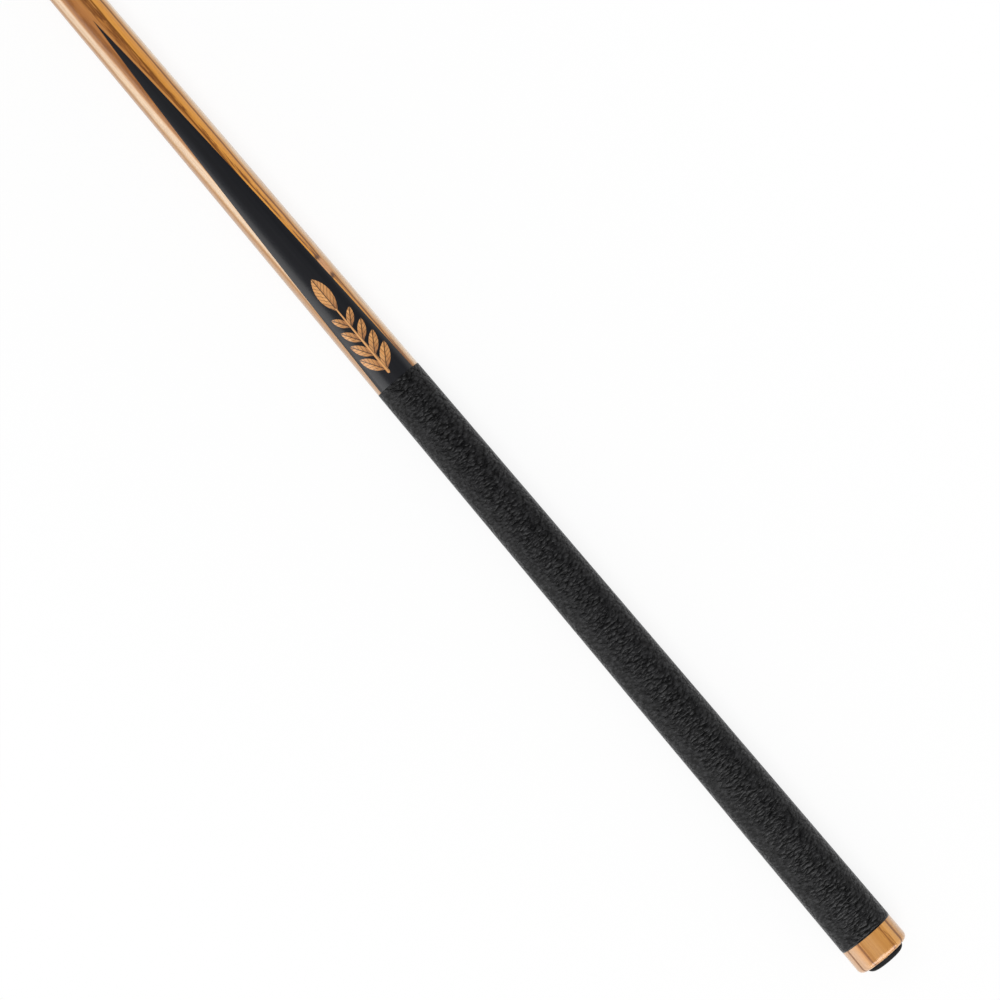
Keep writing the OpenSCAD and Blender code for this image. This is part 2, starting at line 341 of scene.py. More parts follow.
    def surface(self, **sockets: object) -> bpy.types.Material:
        """Ends the tree in a Principled surface.

        Args:
            sockets: the surface's inputs, with underscores for the spaces in their names.

        Returns:
            The finished material.
        """
        named = {name.replace("_", " "): value for name, value in sockets.items()}
        surface = self.node("ShaderNodeBsdfPrincipled", None, named)
        self.node("ShaderNodeOutputMaterial", None, {"Surface": surface.outputs[0]})
        return self.owner


def srgb(red: int, green: int, blue: int) -> Colour:
    """A display colour from 0 to 255 as the linear colour that a shader takes."""
    shares = [part / 255 for part in (red, green, blue)]
    return tuple(s / 12.92 if s <= 0.04045 else ((s + 0.055) / 1.055) ** 2.4 for s in shares)


def greatest(shares: list[Field]) -> Field | float:
    """The greatest of several shares, or 0 where there are none."""
    return reduce(Field.greater, shares) if shares else 0.0


# -------------------------------------------------------------------------------- finishes


class Finish(Protocol):
    """What every finish has: a name, and a method that makes its material."""

    name: str

    def material(self) -> bpy.types.Material:
        """Makes the material."""


@dataclass(frozen=True)
class Figure:
    """Where a place in the golden wood lies, and the noises that its figure is made of.

    Attributes:
        x: how far it lies along the cue.
        side: the sine of its angle from +Z, from -1 on the left flank to 1 on the right.
        slow: the long wander of the layers, around 0.
        quick: their short wander, around 0.
        streaks: what the paler and the darker streaks come from.
        mottle: what breaks up the brown stretches.
        fibres: the fine fibres.
        pores: the smallest dark specks.
    """

    x: Field
    side: Field
    slow: Field
    quick: Field
    streaks: Field
    mottle: Field
    fibres: Field
    pores: Field


@dataclass(frozen=True)
class BrownStretch:
    """A stretch of the golden wood's layers with dark mottling.

    Attributes:
        middle: the place of its middle, where the wood's layers start to lean.
        half: half of its width.
        depth: how brown it is, from 0 to 1.
        drift: how far it moves to the left per metre along the cue.
        soft: the width of its edges.
    """

    middle: float
    half: float
    depth: float
    drift: float = 0.0
    soft: float = 0.05

    def share(self, layer: Field, ahead: Field) -> Field:
        """How brown a layer is, so far ahead of where the layers start to lean."""
        return (layer + ahead * self.drift).band(self.middle, self.half, self.soft) * self.depth


@dataclass(frozen=True)
class Knot:
    """A small knot in the golden wood, dark at both ends and pale between them.

    Attributes:
        x: its place along the cue.
        side: its place among the layers.
        half: half of its length.
    """

    x: float
    side: float
    half: float = 5 * MM

    def shares(self, figure: Figure) -> tuple[Field, Field]:
        """How much of the knot shows at each place.

        Args:
            figure: the wood's places and noises, which make the knot's outline uneven.

        Returns:
            The share of its dark ends, with the specks beyond them, and of its pale middle.
        """
        out = abs(figure.x - self.x) / self.half + figure.quick * 0.8
        aside = abs(figure.side + figure.slow * 0.1 - self.side)
        dark = out.band(1.2, 0.1, 0.3) * aside.ramp(0.12, 0.05) + out.ramp(2.6, 0.8) * figure.quick
        return dark, out.ramp(1.25, 0.75) * aside.ramp(0.16, 0.08)


@dataclass(frozen=True)
class GoldenWood:
    """Lacquered golden wood, its layers stacked from the left flank to the right.

    A layer's place is the sine of its angle from +Z, -1 on the left flank and 1 on the right.

    Attributes:
        name: the material's name.
        layers: place and colour of each layer, from left to right; the pale stops at both flanks are
            painted reflection and a cream stretch on the left flank is painted highlight.
        lines: places of the thin dark growth lines.
        browns: the stretches of layers with dark mottling.
        knots: the small knots.
        margin: width of the clean wood on the right of a black point.
        lean: how far the left flank's layers move to the left per metre along the cue.
        lean_x: where they stand at their own places.
        seed: how far along the cue the noise is shifted, in metres.
        line_half: half of a growth line's width.
        line_soft: the width of its edges.
    """

    name: str
    layers: tuple[tuple[float, tuple[int, int, int]], ...]
    lines: tuple[float, ...]
    browns: tuple[BrownStretch, ...]
    knots: tuple[Knot, ...] = ()
    margin: float = 0.0
    lean: float = 0.0
    lean_x: float = 0.0
    seed: float = 0.0
    line_half: float = 0.013
    line_soft: float = 0.028

    def figure(self, sh: Shader) -> Figure:
        """Works out the places and makes the noises, all of them longest along the cue.

        Args:
            sh: the wood's tree.

        Returns:
            The places and the noises.
        """
        x, y, _ = sh.axes()
        shift = {0: sh.place, 1: (self.seed, 0, 0)}
        place = sh.node("ShaderNodeVectorMath", None, shift).outputs[0]
        return Figure(
            x=x,
            side=y / sh.from_axis() * -1,
            slow=sh.noise(sh.stretched(16, 60, 60, place), 2.0) - 0.5,
            quick=sh.noise(sh.stretched(60, 380, 90, place), 3.0, 0.6) - 0.5,
            streaks=sh.noise(sh.stretched(14, 760, 150, place), 3.0, 0.6, 0.3),
            mottle=sh.noise(sh.stretched(75, 1150, 220, place), 3.0, 0.62, 0.9),
            fibres=sh.noise(sh.stretched(90, 3600, 900, place), 2.0, 0.6),
            pores=sh.noise(sh.stretched(240, 5200, 5200, place), 1.0),
        )

    def layer(self, figure: Figure) -> Field:
        """The place among the layers, which wander and, on the left flank, lean."""
        lean = (figure.x - self.lean_x) * figure.side.ramp(0.1, -0.4) * self.lean
        return figure.side + figure.slow * 0.06 + figure.quick * 0.05 + lean

    def brown(self, figure: Figure) -> Field | float:
        """How brown each place is, which is not at all in the clean wood by a black point.

        Args:
            figure: the wood's places and noises.

        Returns:
            The share of brown.
        """
        mottled = self.layer(figure) + (figure.mottle - 0.5) * 0.3
        ahead = figure.x - self.lean_x
        share = greatest([stretch.share(mottled, ahead) for stretch in self.browns])
        if self.margin:
            gap = ahead.shader.attribute("gap")
            clean = gap.ramp(self.margin * 1.3, self.margin * 0.8) * figure.side.ramp(-0.05, 0.1)
            share = share * (1 - clean)
        return share

    def growth(self, figure: Figure) -> Field | float:
        """How much of a growth line shows, where the lines wander and come and go.

        Args:
            figure: the wood's places and noises.

        Returns:
            The share of the lines' colour.
        """
        wander = figure.side + figure.slow * 0.07 + figure.quick * 0.035
        bands = [wander.band(place, self.line_half, self.line_soft) for place in self.lines]
        return greatest(bands) * figure.streaks.ramp(0.15, 0.4)

    def material(self) -> bpy.types.Material:
        """Coloured layers with their marks over them, one after the other, and a clear lacquer; the layers
        hold painted reflections at both flanks and a painted highlight on the left flank.

        Returns:
            The material.
        """
        sh = Shader(self.name)
        figure = self.figure(sh)
        streaks, fibres = figure.streaks, figure.fibres
        stops = [((place + 1) / 2, srgb(*shade)) for place, shade in self.layers]
        # the layers' colours, which hold the painted reflections at both flanks and the painted highlight
        # on the left flank
        layers = sh.colours((self.layer(figure) + figure.quick * 0.05) * 0.5 + 0.5, *stops)
        mottle = sh.blend(figure.mottle.ramp(0.45, 0.64), srgb(112, 60, 14), srgb(184, 118, 48))
        knots = [knot.shares(figure) for knot in self.knots]
        knot_dark = greatest([dark for dark, _ in knots])
        knot_pale = greatest([pale for _, pale in knots])
        colour = sh.marked(
            layers,
            (streaks.ramp(0.56, 0.34) * 0.30, srgb(176, 108, 40)),
            (streaks.ramp(0.56, 0.74) * 0.30, srgb(246, 190, 118)),
            (self.brown(figure), mottle),
            (self.growth(figure) * (1 - knot_pale), srgb(126, 74, 8)),
            (knot_pale * 0.7, srgb(214, 158, 116)),
            (knot_dark * 0.9, srgb(78, 40, 10)),
            (fibres.ramp(0.60, 0.35) * 0.16, srgb(142, 84, 34)),
            (figure.pores.ramp(0.64, 0.72) * 0.3, srgb(92, 50, 18)),
        )
        return sh.surface(
            Base_Color=colour,
            Roughness=0.36 + fibres * 0.12,
            Normal=sh.bump(fibres, 0.006 * MM, 0.5),
            Specular_IOR_Level=0.1,
            Coat_Weight=1.0,
            Coat_Roughness=0.26,
            Coat_IOR=1.5,
        )


@dataclass(frozen=True)
class BlackWood:
    """Near-black point wood with faint fibres under a thin polish."""

    name: str = "point_wood"

    def material(self) -> bpy.types.Material:
        """Bluish blacks that change softly along X, with a satin shine.

        Returns:
            The material.
        """
        sh = Shader(self.name)
        streaks = sh.noise(sh.stretched(6, 260, 260), 2.0)
        fibres = sh.noise(sh.stretched(120, 4200, 4200), 2.0)
        shades = (0.3, srgb(15, 16, 20)), (0.5, srgb(21, 22, 27)), (0.7, srgb(28, 29, 33))
        fibre_share = fibres.ramp(0.6, 0.7) * 0.15
        return sh.surface(
            Base_Color=sh.blend(fibre_share, sh.colours(streaks, *shades), srgb(34, 32, 33)),
            Roughness=0.29 + fibres * 0.05,
            Normal=sh.bump(fibres, 0.003 * MM, 0.4),
            Specular_IOR_Level=0.42,
        )


@dataclass(frozen=True)
class LeafWood:
    """Light golden inlay wood with scribed veins. Its UV map runs along and across each leaf.

    Attributes:
        name: the material's name.
        vein_step: distance between the side veins, measured along the leaf.
        vein_slope: how far a side vein runs up the leaf per metre across it.
        rib_inner: half width of the middle rib's full groove.
        rib_outer: distance from the middle line at which the groove ends.
        vein_depth: depth of the scribed lines.
    """

    name: str = "inlay_wood"
    vein_step: float = 2.6 * MM
    vein_slope: float = 1.3
    rib_inner: float = 0.18 * MM
    rib_outer: float = 0.34 * MM
    vein_depth: float = 0.05 * MM

    def material(self) -> bpy.types.Material:
        """Warm light wood, browner towards each leaf's foot, with dark scribed lines.

        The side veins are the crests of a sine of the distance along the leaf less the slope
        times the distance from its middle line.

        Returns:
            The material.
        """
        sh = Shader(self.name)
        along, across, _ = sh.axes(sh.skin("leaf"))
        grain = sh.noise(sh.stretched(60, 2600, 2600), 3.0, 0.6)
        aside = abs(across)
        wave = ((along - aside * self.vein_slope) / self.vein_step * TURN).sine()
        vein = wave.ramp(0.80, 0.97) * aside.ramp(0.10 * MM, 0.3 * MM)
        lines = aside.ramp(self.rib_outer, self.rib_inner).greater(vein * 0.85)
        shades = (0.3, srgb(190, 124, 66)), (0.55, srgb(224, 162, 96)), (0.8, srgb(238, 186, 122))
        foot = along.ramp(8 * MM, 0.5 * MM) * 0.7 + across.ramp(0.0, -0.5 * MM) * 0.25
        wood = sh.blend(foot, sh.colours(grain, *shades), srgb(138, 84, 44))
        return sh.surface(
            Base_Color=sh.blend(lines * 0.9, wood, srgb(44, 24, 12)),
            Roughness=0.36 + grain * 0.12,
            Normal=sh.bump(1 - lines, self.vein_depth, 0.6),
            Coat_Weight=0.5,
            Coat_Roughness=0.08,
            Specular_IOR_Level=0.4,
        )


@dataclass(frozen=True)
class WrapLeather:
    """Charcoal leather with a creased grain. Its UV map is in metres along and round the wrap.

    Attributes:
        name: the material's name.
        pebble: size of a pebble of the grain along and round the cue.
        fold: size of a fold along and round the cue.
        drift: size of the patches in which the pebbles are pushed together or apart.
        depth: height of the grain.
    """

    name: str = "wrap_leather"
    pebble: tuple[float, float] = (1.35 * MM, 2.3 * MM)
    fold: tuple[float, float] = (1.2 * MM, 2.6 * MM)
    drift: tuple[float, float] = (5 * MM, 4 * MM)
    depth: float = 0.44 * MM

    def hide(self, sh: Shader, size: tuple[float, float]) -> bpy.types.NodeSocket:
        """The place on the leather in features of a size along and round the cue."""
        return sh.stretched(1 / size[0], 1 / size[1], 1, sh.skin("hide"))

    def pebbles(self, sh: Shader) -> Field:
        """Domed pebbles: 1 less twice the square of the distance from the nearest middle.

        Args:
            sh: the leather's tree.

        Returns:
            The pebbles' height, up to 1.
        """
        push = {"Vector": self.hide(sh, self.drift), "Scale": 1.0, "Detail": 2.0}
        pushed = sh.node("ShaderNodeTexNoise", None, push).outputs["Color"]
        sockets = {0: pushed, 1: (1.6, 1.2, 0), 2: self.hide(sh, self.pebble)}
        moved = sh.node("ShaderNodeVectorMath", {"operation": "MULTIPLY_ADD"}, sockets).outputs[0]
        middle = sh.cells(moved)
        return 1 - middle * middle * 2

    def material(self) -> bpy.types.Material:
        """Wavy folds across the cue with domed pebbles between them, painted shade in the creases and
        painted highlight on the crests, and a dull shine.

        Returns:
            The material.
        """
        sh = Shader(self.name)
        pebbles = self.pebbles(sh)
        folds = sh.noise(self.hide(sh, self.fold), 0.7, 0.5, 0.4) - 0.5
        height = folds * 1.3 + pebbles * 0.45 + 0.22
        # painted shade and highlight: the colour darkens into the creases and lightens on the crests of the
        # grain
        shades = (0.15, srgb(5, 5, 6)), (0.5, srgb(28, 28, 29)), (0.85, srgb(48, 48, 49))
        return sh.surface(
            Base_Color=sh.colours(height, *shades),
            Roughness=0.42 - height * 0.1,
            Normal=sh.bump(height, self.depth, 1.0),
            Specular_IOR_Level=0.12,
            Sheen_Weight=0.15,
            Sheen_Roughness=0.3,
            Sheen_Tint=(0.8, 0.8, 0.83),
        )


@dataclass(frozen=True)
class BlackRubber:
    """Moulded black rubber with a satin skin."""

    name: str = "bumper_rubber"

    def material(self) -> bpy.types.Material:
        """Soft black with fine dust-like mottling and a faint moulded texture.

        Returns:
            The material.
        """
        sh = Shader(self.name)
        speck = sh.noise(sh.stretched(2600, 2600, 2600), 2.0)
        cloud = sh.noise(sh.stretched(220, 220, 220), 2.0)
        return sh.surface(
            Base_Color=sh.blend(cloud * 0.6, srgb(8, 8, 10), srgb(16, 16, 19)),
            Roughness=0.50 + speck * 0.14,
            Normal=sh.bump(speck, 0.012 * MM, 0.6),
            Specular_IOR_Level=0.05,
        )


@dataclass(frozen=True)
class Polished:
    """A turned and polished plastic, horn or fibre, in one colour with faint clouding.

    Attributes:
        name: the material's name.
        dark: the darker colour of the clouding.
        light: the lighter colour of the clouding.
        rough: the roughness of its skin.
        coat: the weight of its clear top.
        shine: how strongly the body itself reflects.
    """

    name: str
    dark: Colour
    light: Colour
    rough: float
    coat: float
    shine: float

    def material(self) -> bpy.types.Material:
        """Clouded colour with the finest of turning lines.

        Returns:
            The material.
        """
        sh = Shader(self.name)
        cloud = sh.noise(sh.stretched(160, 260, 260), 3.0)
        lines = sh.noise(sh.stretched(9000, 12, 12), 1.0)
        return sh.surface(
            Base_Color=sh.blend(cloud.ramp(0.3, 0.7), self.dark, self.light),
            Roughness=self.rough + lines * 0.06,
            Normal=sh.bump(lines, 0.003 * MM, 0.4),
            Specular_IOR_Level=self.shine,
            Coat_Weight=self.coat,
            Coat_Roughness=0.08,
        )


@dataclass(frozen=True)
class TurnedMetal:
    """Metal turned on a lathe.

    Attributes:
        name: the material's name.
        colour: the metal's colour.
        rough: the roughness between the tool marks.
        marks: the depth of the tool marks.
    """

    name: str
    colour: Colour
    rough: float
    marks: float = 0.004 * MM

    def material(self) -> bpy.types.Material:
        """Fine rings round the axis, slightly duller patches, full metal.

        Returns:
            The material.
        """
        sh = Shader(self.name)
        rings = sh.noise(sh.stretched(14000, 8, 8), 2.0)
        patch = sh.noise(sh.stretched(180, 180, 180), 2.0)
        duller = tuple(part * 0.8 for part in self.colour)
        return sh.surface(
            Base_Color=sh.blend(patch.ramp(0.35, 0.7) * 0.5, self.colour, duller),
            Metallic=1.0,
            Roughness=self.rough + rings * 0.12 + patch * 0.05,
            Normal=sh.bump(rings, self.marks, 0.6),
        )


@dataclass(frozen=True)
class Maple:
    """Pale straight-grained maple.

    Attributes:
        name: the material's name.
        coat: the weight of its lacquer.
    """

    name: str
    coat: float

    def material(self) -> bpy.types.Material:
        """Cream wood with fine growth lines along X and short dark flecks.

        Returns:
            The material.
        """
        sh = Shader(self.name)
        rings = sh.noise(sh.stretched(2.2, 520, 150), 3.0, 0.55, 0.3)
        fibres = sh.noise(sh.stretched(120, 4200, 4200), 2.0)
        flecks = sh.noise(sh.stretched(330, 3600, 3600), 1.0)
        shades = (0.3, srgb(206, 168, 118)), (0.5, srgb(226, 192, 146)), (0.7, srgb(236, 208, 166))
        colour = sh.marked(
            sh.colours(rings, *shades),
            (fibres.ramp(0.6, 0.35) * 0.2, srgb(190, 148, 98)),
            (flecks.ramp(0.66, 0.74) * 0.35, srgb(150, 104, 62)),
        )
        return sh.surface(
            Base_Color=colour,
            Roughness=0.34 + fibres * 0.1,
            Normal=sh.bump(fibres, 0.008 * MM, 0.4),
            Coat_Weight=self.coat,
            Coat_Roughness=0.14,
        )


@dataclass(frozen=True)
class TipLeather:
    """Pressed and layered tip leather, burnished at its side and napped on its crown.

    Attributes:
        crown_x: where the crown starts.
        name: the material's name.
    """

    crown_x: float
    name: str = "tip_leather"

    def material(self) -> bpy.types.Material:
        """Tan nap on the crown, darker and smoother on the side.

        Returns:
            The material.
        """
        sh = Shader(self.name)
        x, _, _ = sh.axes()
        nap = sh.noise(sh.stretched(2400, 2400, 2400), 3.0, 0.7)
        layers = sh.noise(sh.stretched(1500, 60, 60), 2.0)
        side = x.ramp(self.crown_x + 0.5 * MM, self.crown_x - 0.1 * MM)
        tan = sh.blend(nap, srgb(112, 78, 50), srgb(150, 110, 74))
        burnt = sh.blend(layers.ramp(0.4, 0.6), srgb(70, 42, 24), srgb(96, 60, 36))
        return sh.surface(
            Base_Color=sh.blend(side, tan, burnt),
            Roughness=0.9 - side * 0.45,
            Normal=sh.bump(nap, 0.05 * MM, 0.7),
        )


FOREARM_WOOD = GoldenWood(
    "golden_wood",
    layers=(
        # painted reflection: the pale left flank stands in for the white surroundings mirrored in the
        # lacquer at a grazing angle
        (-1.0, (206, 166, 128)),
        (-0.90, (206, 158, 110)),
        (-0.84, (182, 132, 78)),
        (-0.80, (214, 166, 112)),
        # painted highlight: this cream stretch stands in for the side lamp's glare on the lacquer
        (-0.74, (238, 208, 174)),
        (-0.56, (240, 208, 172)),
        (-0.49, (194, 140, 84)),
        (-0.42, (174, 114, 54)),
        (-0.32, (150, 94, 44)),
        (-0.10, (180, 116, 56)),
        (0.24, (196, 132, 62)),
        (0.50, (206, 136, 56)),
        (0.56, (230, 158, 62)),
        (0.78, (230, 158, 62)),
        (0.84, (204, 140, 62)),
        # painted reflection: the pale right flank stands in for the white surroundings mirrored in the
        # lacquer at a grazing angle
        (0.88, (218, 162, 98)),
        (0.94, (240, 204, 162)),
        (1.0, (252, 228, 200)),
    ),
    lines=(0.815, 0.485),
    browns=(BrownStretch(0.365, 0.11, 0.94, 1.9), BrownStretch(-0.32, 0.13, 0.45)),
    knots=(Knot(462.6 * MM, 0.73),),
    margin=1.0 * MM,
    lean=0.67,
    lean_x=600 * MM,
)
SLEEVE_WOOD = GoldenWood(
    "golden_sleeve_wood",
    layers=(
        # painted reflection and painted highlight: the pale left flank out to -0.66 stands in for the white
        # surroundings and the side lamp mirrored in the lacquer
        (-1.0, (228, 182, 138)),
        (-0.66, (214, 172, 132)),
        (-0.48, (214, 156, 94)),
        (-0.38, (178, 116, 52)),
        (-0.26, (176, 118, 52)),
        (-0.14, (200, 142, 70)),
        (0.42, (202, 142, 68)),
        (0.66, (216, 154, 76)),
        (0.86, (210, 152, 80)),
        # painted reflection: the pale right flank stands in for the white surroundings mirrored in the
        # lacquer at a grazing angle
        (0.91, (212, 160, 100)),
        (1.0, (240, 202, 166)),
    ),
    lines=(0.83, -0.37, -0.78),
    browns=(BrownStretch(0.54, 0.03, 0.85),),
    seed=1.7,
)
BLACK_WOOD = BlackWood()
LEAF_WOOD = LeafWood()
LEATHER = WrapLeather()
RUBBER = BlackRubber()
BLACK = Polished("polished_black", srgb(4, 4, 5), srgb(10, 10, 11), 0.22, 0.15, 0.3)
IVORY = Polished("ferrule_white", srgb(220, 216, 202), srgb(234, 231, 219), 0.24, 0.4, 0.3)
FIBRE = Polished("pad_fibre", srgb(120, 22, 18), srgb(158, 40, 30), 0.6, 0.0, 0.2)
STEEL = TurnedMetal("steel_hardware", srgb(176, 178, 181), 0.3)
BRIGHT = TurnedMetal("ring_metal", srgb(214, 214, 216), 0.14, 0.002 * MM)
PIN_STEEL = TurnedMetal("pin_steel", srgb(200, 201, 204), 0.2)
BRASS = TurnedMetal("insert_brass", srgb(214, 178, 96), 0.24)
CORE_MAPLE = Maple("core_maple", 0.0)
SHAFT_MAPLE = Maple("shaft_maple", 0.5)


# ---------------------------------------------------------------------------------- shapes

# How finely shapes are made: the points of an eased corner, how far from an edge the next
# point lies, and the steps round a turned piece and round a thread.
CORNER_POINTS = 6
EDGE_STEP = 0.25 * MM
TURNED_STEPS = 144
THREAD_STEPS = 96

# Points closer than these are one, on a line and in a mesh. Edges that bend more stay sharp.
SAME_SPOT = 1e-9
WELD = 1e-7
SHARP_ANGLE = math.radians(28)


@dataclass
class Shape:
    """Points, faces and what they carry, before they become a mesh.

    Attributes:
        points: an array of places, one row per point.
        faces: arrays of point numbers, one row per face.
        layer: a UV map's name and its value at each point, where the finish needs one.
        gap: a distance at each point, where the finish needs one.
    """

    points: np.ndarray
    faces: list[np.ndarray]
    layer: tuple[str, np.ndarray] | None = None
    gap: np.ndarray | None = None

    def turned_over(self) -> "Shape":
        """The same shape turned half round the cue's axis, from the front to the back."""
        return Shape(self.points * (1, -1, -1), self.faces, self.layer, self.gap)

    def mesh(self, name: str) -> bpy.types.Mesh:
        """Makes a mesh.

        Points that lie on each other are welded, every face is turned outwards, and the edges
        where faces meet at more than the sharp angle stay sharp.

        Args:
            name: the mesh's name.

        Returns:
            The mesh.
        """
        mesh = bpy.data.meshes.new(name)
        mesh.from_pydata(self.points, [], [face for rows in self.faces for face in rows.tolist()])
        if self.gap is not None:
            mesh.attributes.new("gap", "FLOAT", "POINT").data.foreach_set("value", self.gap)
        if self.layer is not None:
            corner = np.empty(len(mesh.loops), dtype=np.int32)
            mesh.loops.foreach_get("vertex_index", corner)
            layer = mesh.uv_layers.new(name=self.layer[0])
            layer.data.foreach_set("uv", self.layer[1][corner].ravel())
        work = bmesh.new()
        work.from_mesh(mesh)
        bmesh.ops.remove_doubles(work, verts=work.verts, dist=WELD)
        bmesh.ops.dissolve_degenerate(work, edges=work.edges, dist=WELD / 10)
        bmesh.ops.recalc_face_normals(work, faces=work.faces)
        if work.calc_volume(signed=True) < 0:
            bmesh.ops.reverse_faces(work, faces=work.faces)
        open_edges = sum(not edge.is_manifold for edge in work.edges)
        work.to_mesh(mesh)
        work.free()
        mesh.shade_smooth()
        mesh.set_sharp_from_angle(angle=SHARP_ANGLE)
        log.info("%s: %d faces, %d open edges", name, len(mesh.polygons), open_edges)
        return mesh


def joined(shapes: list[Shape]) -> Shape:
    """Several shapes as one, their points and faces one after the other.

    Args:
        shapes: the shapes, all or none of them with a UV map of the same name.

    Returns:
        The one shape.
    """
    starts = np.cumsum([0] + [len(shape.points) for shape in shapes])
    faces = [
        rows + start for start, shape in zip(starts[:-1], shapes, strict=True) for rows in shape.faces
    ]
    layer = None
    if shapes[0].layer:
        layer = (shapes[0].layer[0], np.concatenate([shape.layer[1] for shape in shapes]))
    return Shape(np.concatenate([shape.points for shape in shapes]), faces, layer)


def lofted(sections: np.ndarray, ring: bool = False, ends: tuple[bool, bool] = (True, True)) -> Shape:
    """A skin over closed loops: point (row, column) belongs to loop row at place column.

    Every point is joined to the next one of its own loop and to the same one of the next loop,
    which gives one four-sided face per step.

    Args:
        sections: the loops, as rows by columns by 3.
        ring: whether the last loop joins the first, as on a ring.
        ends: whether the first and the last loop are closed by a flat face.

    Returns:
        The skin.
    """
    rows, columns = sections.shape[:2]
    row, column = np.indices((rows if ring else rows - 1, columns)).reshape(2, -1)
    after, beside = (row + 1) % rows, (column + 1) % columns
    corners = [row * columns + column, row * columns + beside]
    corners += [after * columns + beside, after * columns + column]
    faces = [np.stack(corners, axis=1)]
    if not ring:
        first = np.arange(columns)[None]
        loops = (first, first + (rows - 1) * columns)
        faces += [loop for loop, closed in zip(loops, ends, strict=True) if closed]
    return Shape(sections.reshape(-1, 3), faces)


def between(outer: np.ndarray, inner: np.ndarray, ends: tuple[bool, bool] = (True, True)) -> Shape:
    """A solid between an outer and an inner sheet of points, closed along its edges."""
    return lofted(np.concatenate([outer, inner[:, ::-1]], axis=1), ends=ends)


def profile(corners: Corners, step: float = 3 * MM, loop: bool = False) -> np.ndarray:
    """A line through corners in the plane of place and radius, with eased corners.

    A corner with an ease becomes the quadratic curve that leaves its two sides at that distance.
    A long side gets a point close to each end, which keeps an edge's shading by the edge, and
    more points in between, no further apart than a step.

    Args:
        corners: place, radius and, where the corner isn't sharp, its ease.
        step: the longest stretch between two points.
        loop: whether the line comes back to its first corner.

    Returns:
        The line's points, as place and radius.
    """
    table = np.array([(*corner, 0.0)[:3] for corner in corners])
    spot, ease = table[:, None, :2], table[:, None, 2:]
    back, ahead = np.roll(spot, 1, axis=0) - spot, np.roll(spot, -1, axis=0) - spot
    leave = spot + ease * back / np.linalg.norm(back, axis=2, keepdims=True)
    enter = spot + ease * ahead / np.linalg.norm(ahead, axis=2, keepdims=True)
    t = np.linspace(0, 1, CORNER_POINTS)[None, :, None]
    line = ((1 - t) ** 2 * leave + 2 * t * (1 - t) * spot + t**2 * enter).reshape(-1, 2)
    if loop:
        line = np.concatenate([line, line[:1]])
    line = line[np.append(True, np.linalg.norm(np.diff(line, axis=0), axis=1) > SAME_SPOT)]
    way = np.append(0, np.cumsum(np.linalg.norm(np.diff(line, axis=0), axis=1)))
    stops = [way] + [
        np.linspace(a + EDGE_STEP, b - EDGE_STEP, max(2, math.ceil((b - a) / step) + 1))
        for a, b in zip(way[:-1], way[1:], strict=True)
        if b - a > 4 * EDGE_STEP
    ]
    places = np.unique(np.concatenate(stops))
    line = np.stack([np.interp(places, way, line[:, axis]) for axis in (0, 1)], axis=1)
    return line[:-1] if loop else line


def quarter(x: float, radius: float, depth: float, rise: float, steps: int) -> Corners:
    """Corners of a quarter ellipse: depth times 1 less cosine along, rise times sine outwards.

    Args:
        x: where it starts along the cue.
        radius: the radius there.
        depth: how far it runs along the cue.
        rise: how far the radius grows.
        steps: the number of corners.

    Returns:
        The corners, as place and radius.
    """
    angle = np.linspace(0, math.pi / 2, steps)
    line = [x + depth * (1 - np.cos(angle)), radius + rise * np.sin(angle)]
    return np.stack(line, axis=1).tolist()


def turned(corners: Corners, step: float = 3 * MM, ring: bool = False) -> Shape:
    """A profile turned about X: (x, radius cos angle, radius sin angle).

    Args:
        corners: the profile's corners, as place, radius and ease.
        step: the longest stretch between two of its points.
        ring: whether it is a closed loop, as on a ring with a bore.

    Returns:
        The turned skin.
    """
    angle = np.arange(TURNED_STEPS) * TURN / TURNED_STEPS
    line = profile(corners, step, ring)
    x, radius = line[:, :1], line[:, 1:]
    rows = np.stack([x + 0 * angle, radius * np.cos(angle), radius * np.sin(angle)], axis=2)
    return lofted(rows, ring=ring, ends=(False, False))


def band(start: float, stop: float, radius: Callable, bore_r: float, ease: float) -> Shape:
    """A ring whose outside follows a radius along the cue.

    Args:
        start: where it starts along the cue.
        stop: where it ends.
        radius: gives the outside's radius at a place.
        bore_r: the radius of its bore.
        ease: how far its outer edges are eased.

    Returns:
        The ring.
    """
    rear = [(start, bore_r), (start, float(radius(start)), ease)]
    front = [(stop, float(radius(stop)), ease), (stop, bore_r)]
    return turned(rear + front, ring=True)


def round_points(x: np.ndarray, radius: np.ndarray, angle: np.ndarray) -> np.ndarray:
    """Points by their place, their distance from the axis and their angle from +Z to +Y."""
    x, radius, angle = np.broadcast_arrays(x, radius, angle)
    return np.stack([x, radius * np.sin(angle), radius * np.cos(angle)], axis=-1)


def mixed(a: np.ndarray, b: np.ndarray, share: np.ndarray) -> np.ndarray:
    """a where share is 0, b where it is 1 and a straight line between."""
    return a + (b - a) * share


def soft_step(value: np.ndarray) -> np.ndarray:
    """0 below 0, 1 above 1 and an even S-curve between, 3 v squared less 2 v cubed."""
    held = np.clip(value, 0, 1)
    return held * held * (3 - 2 * held)


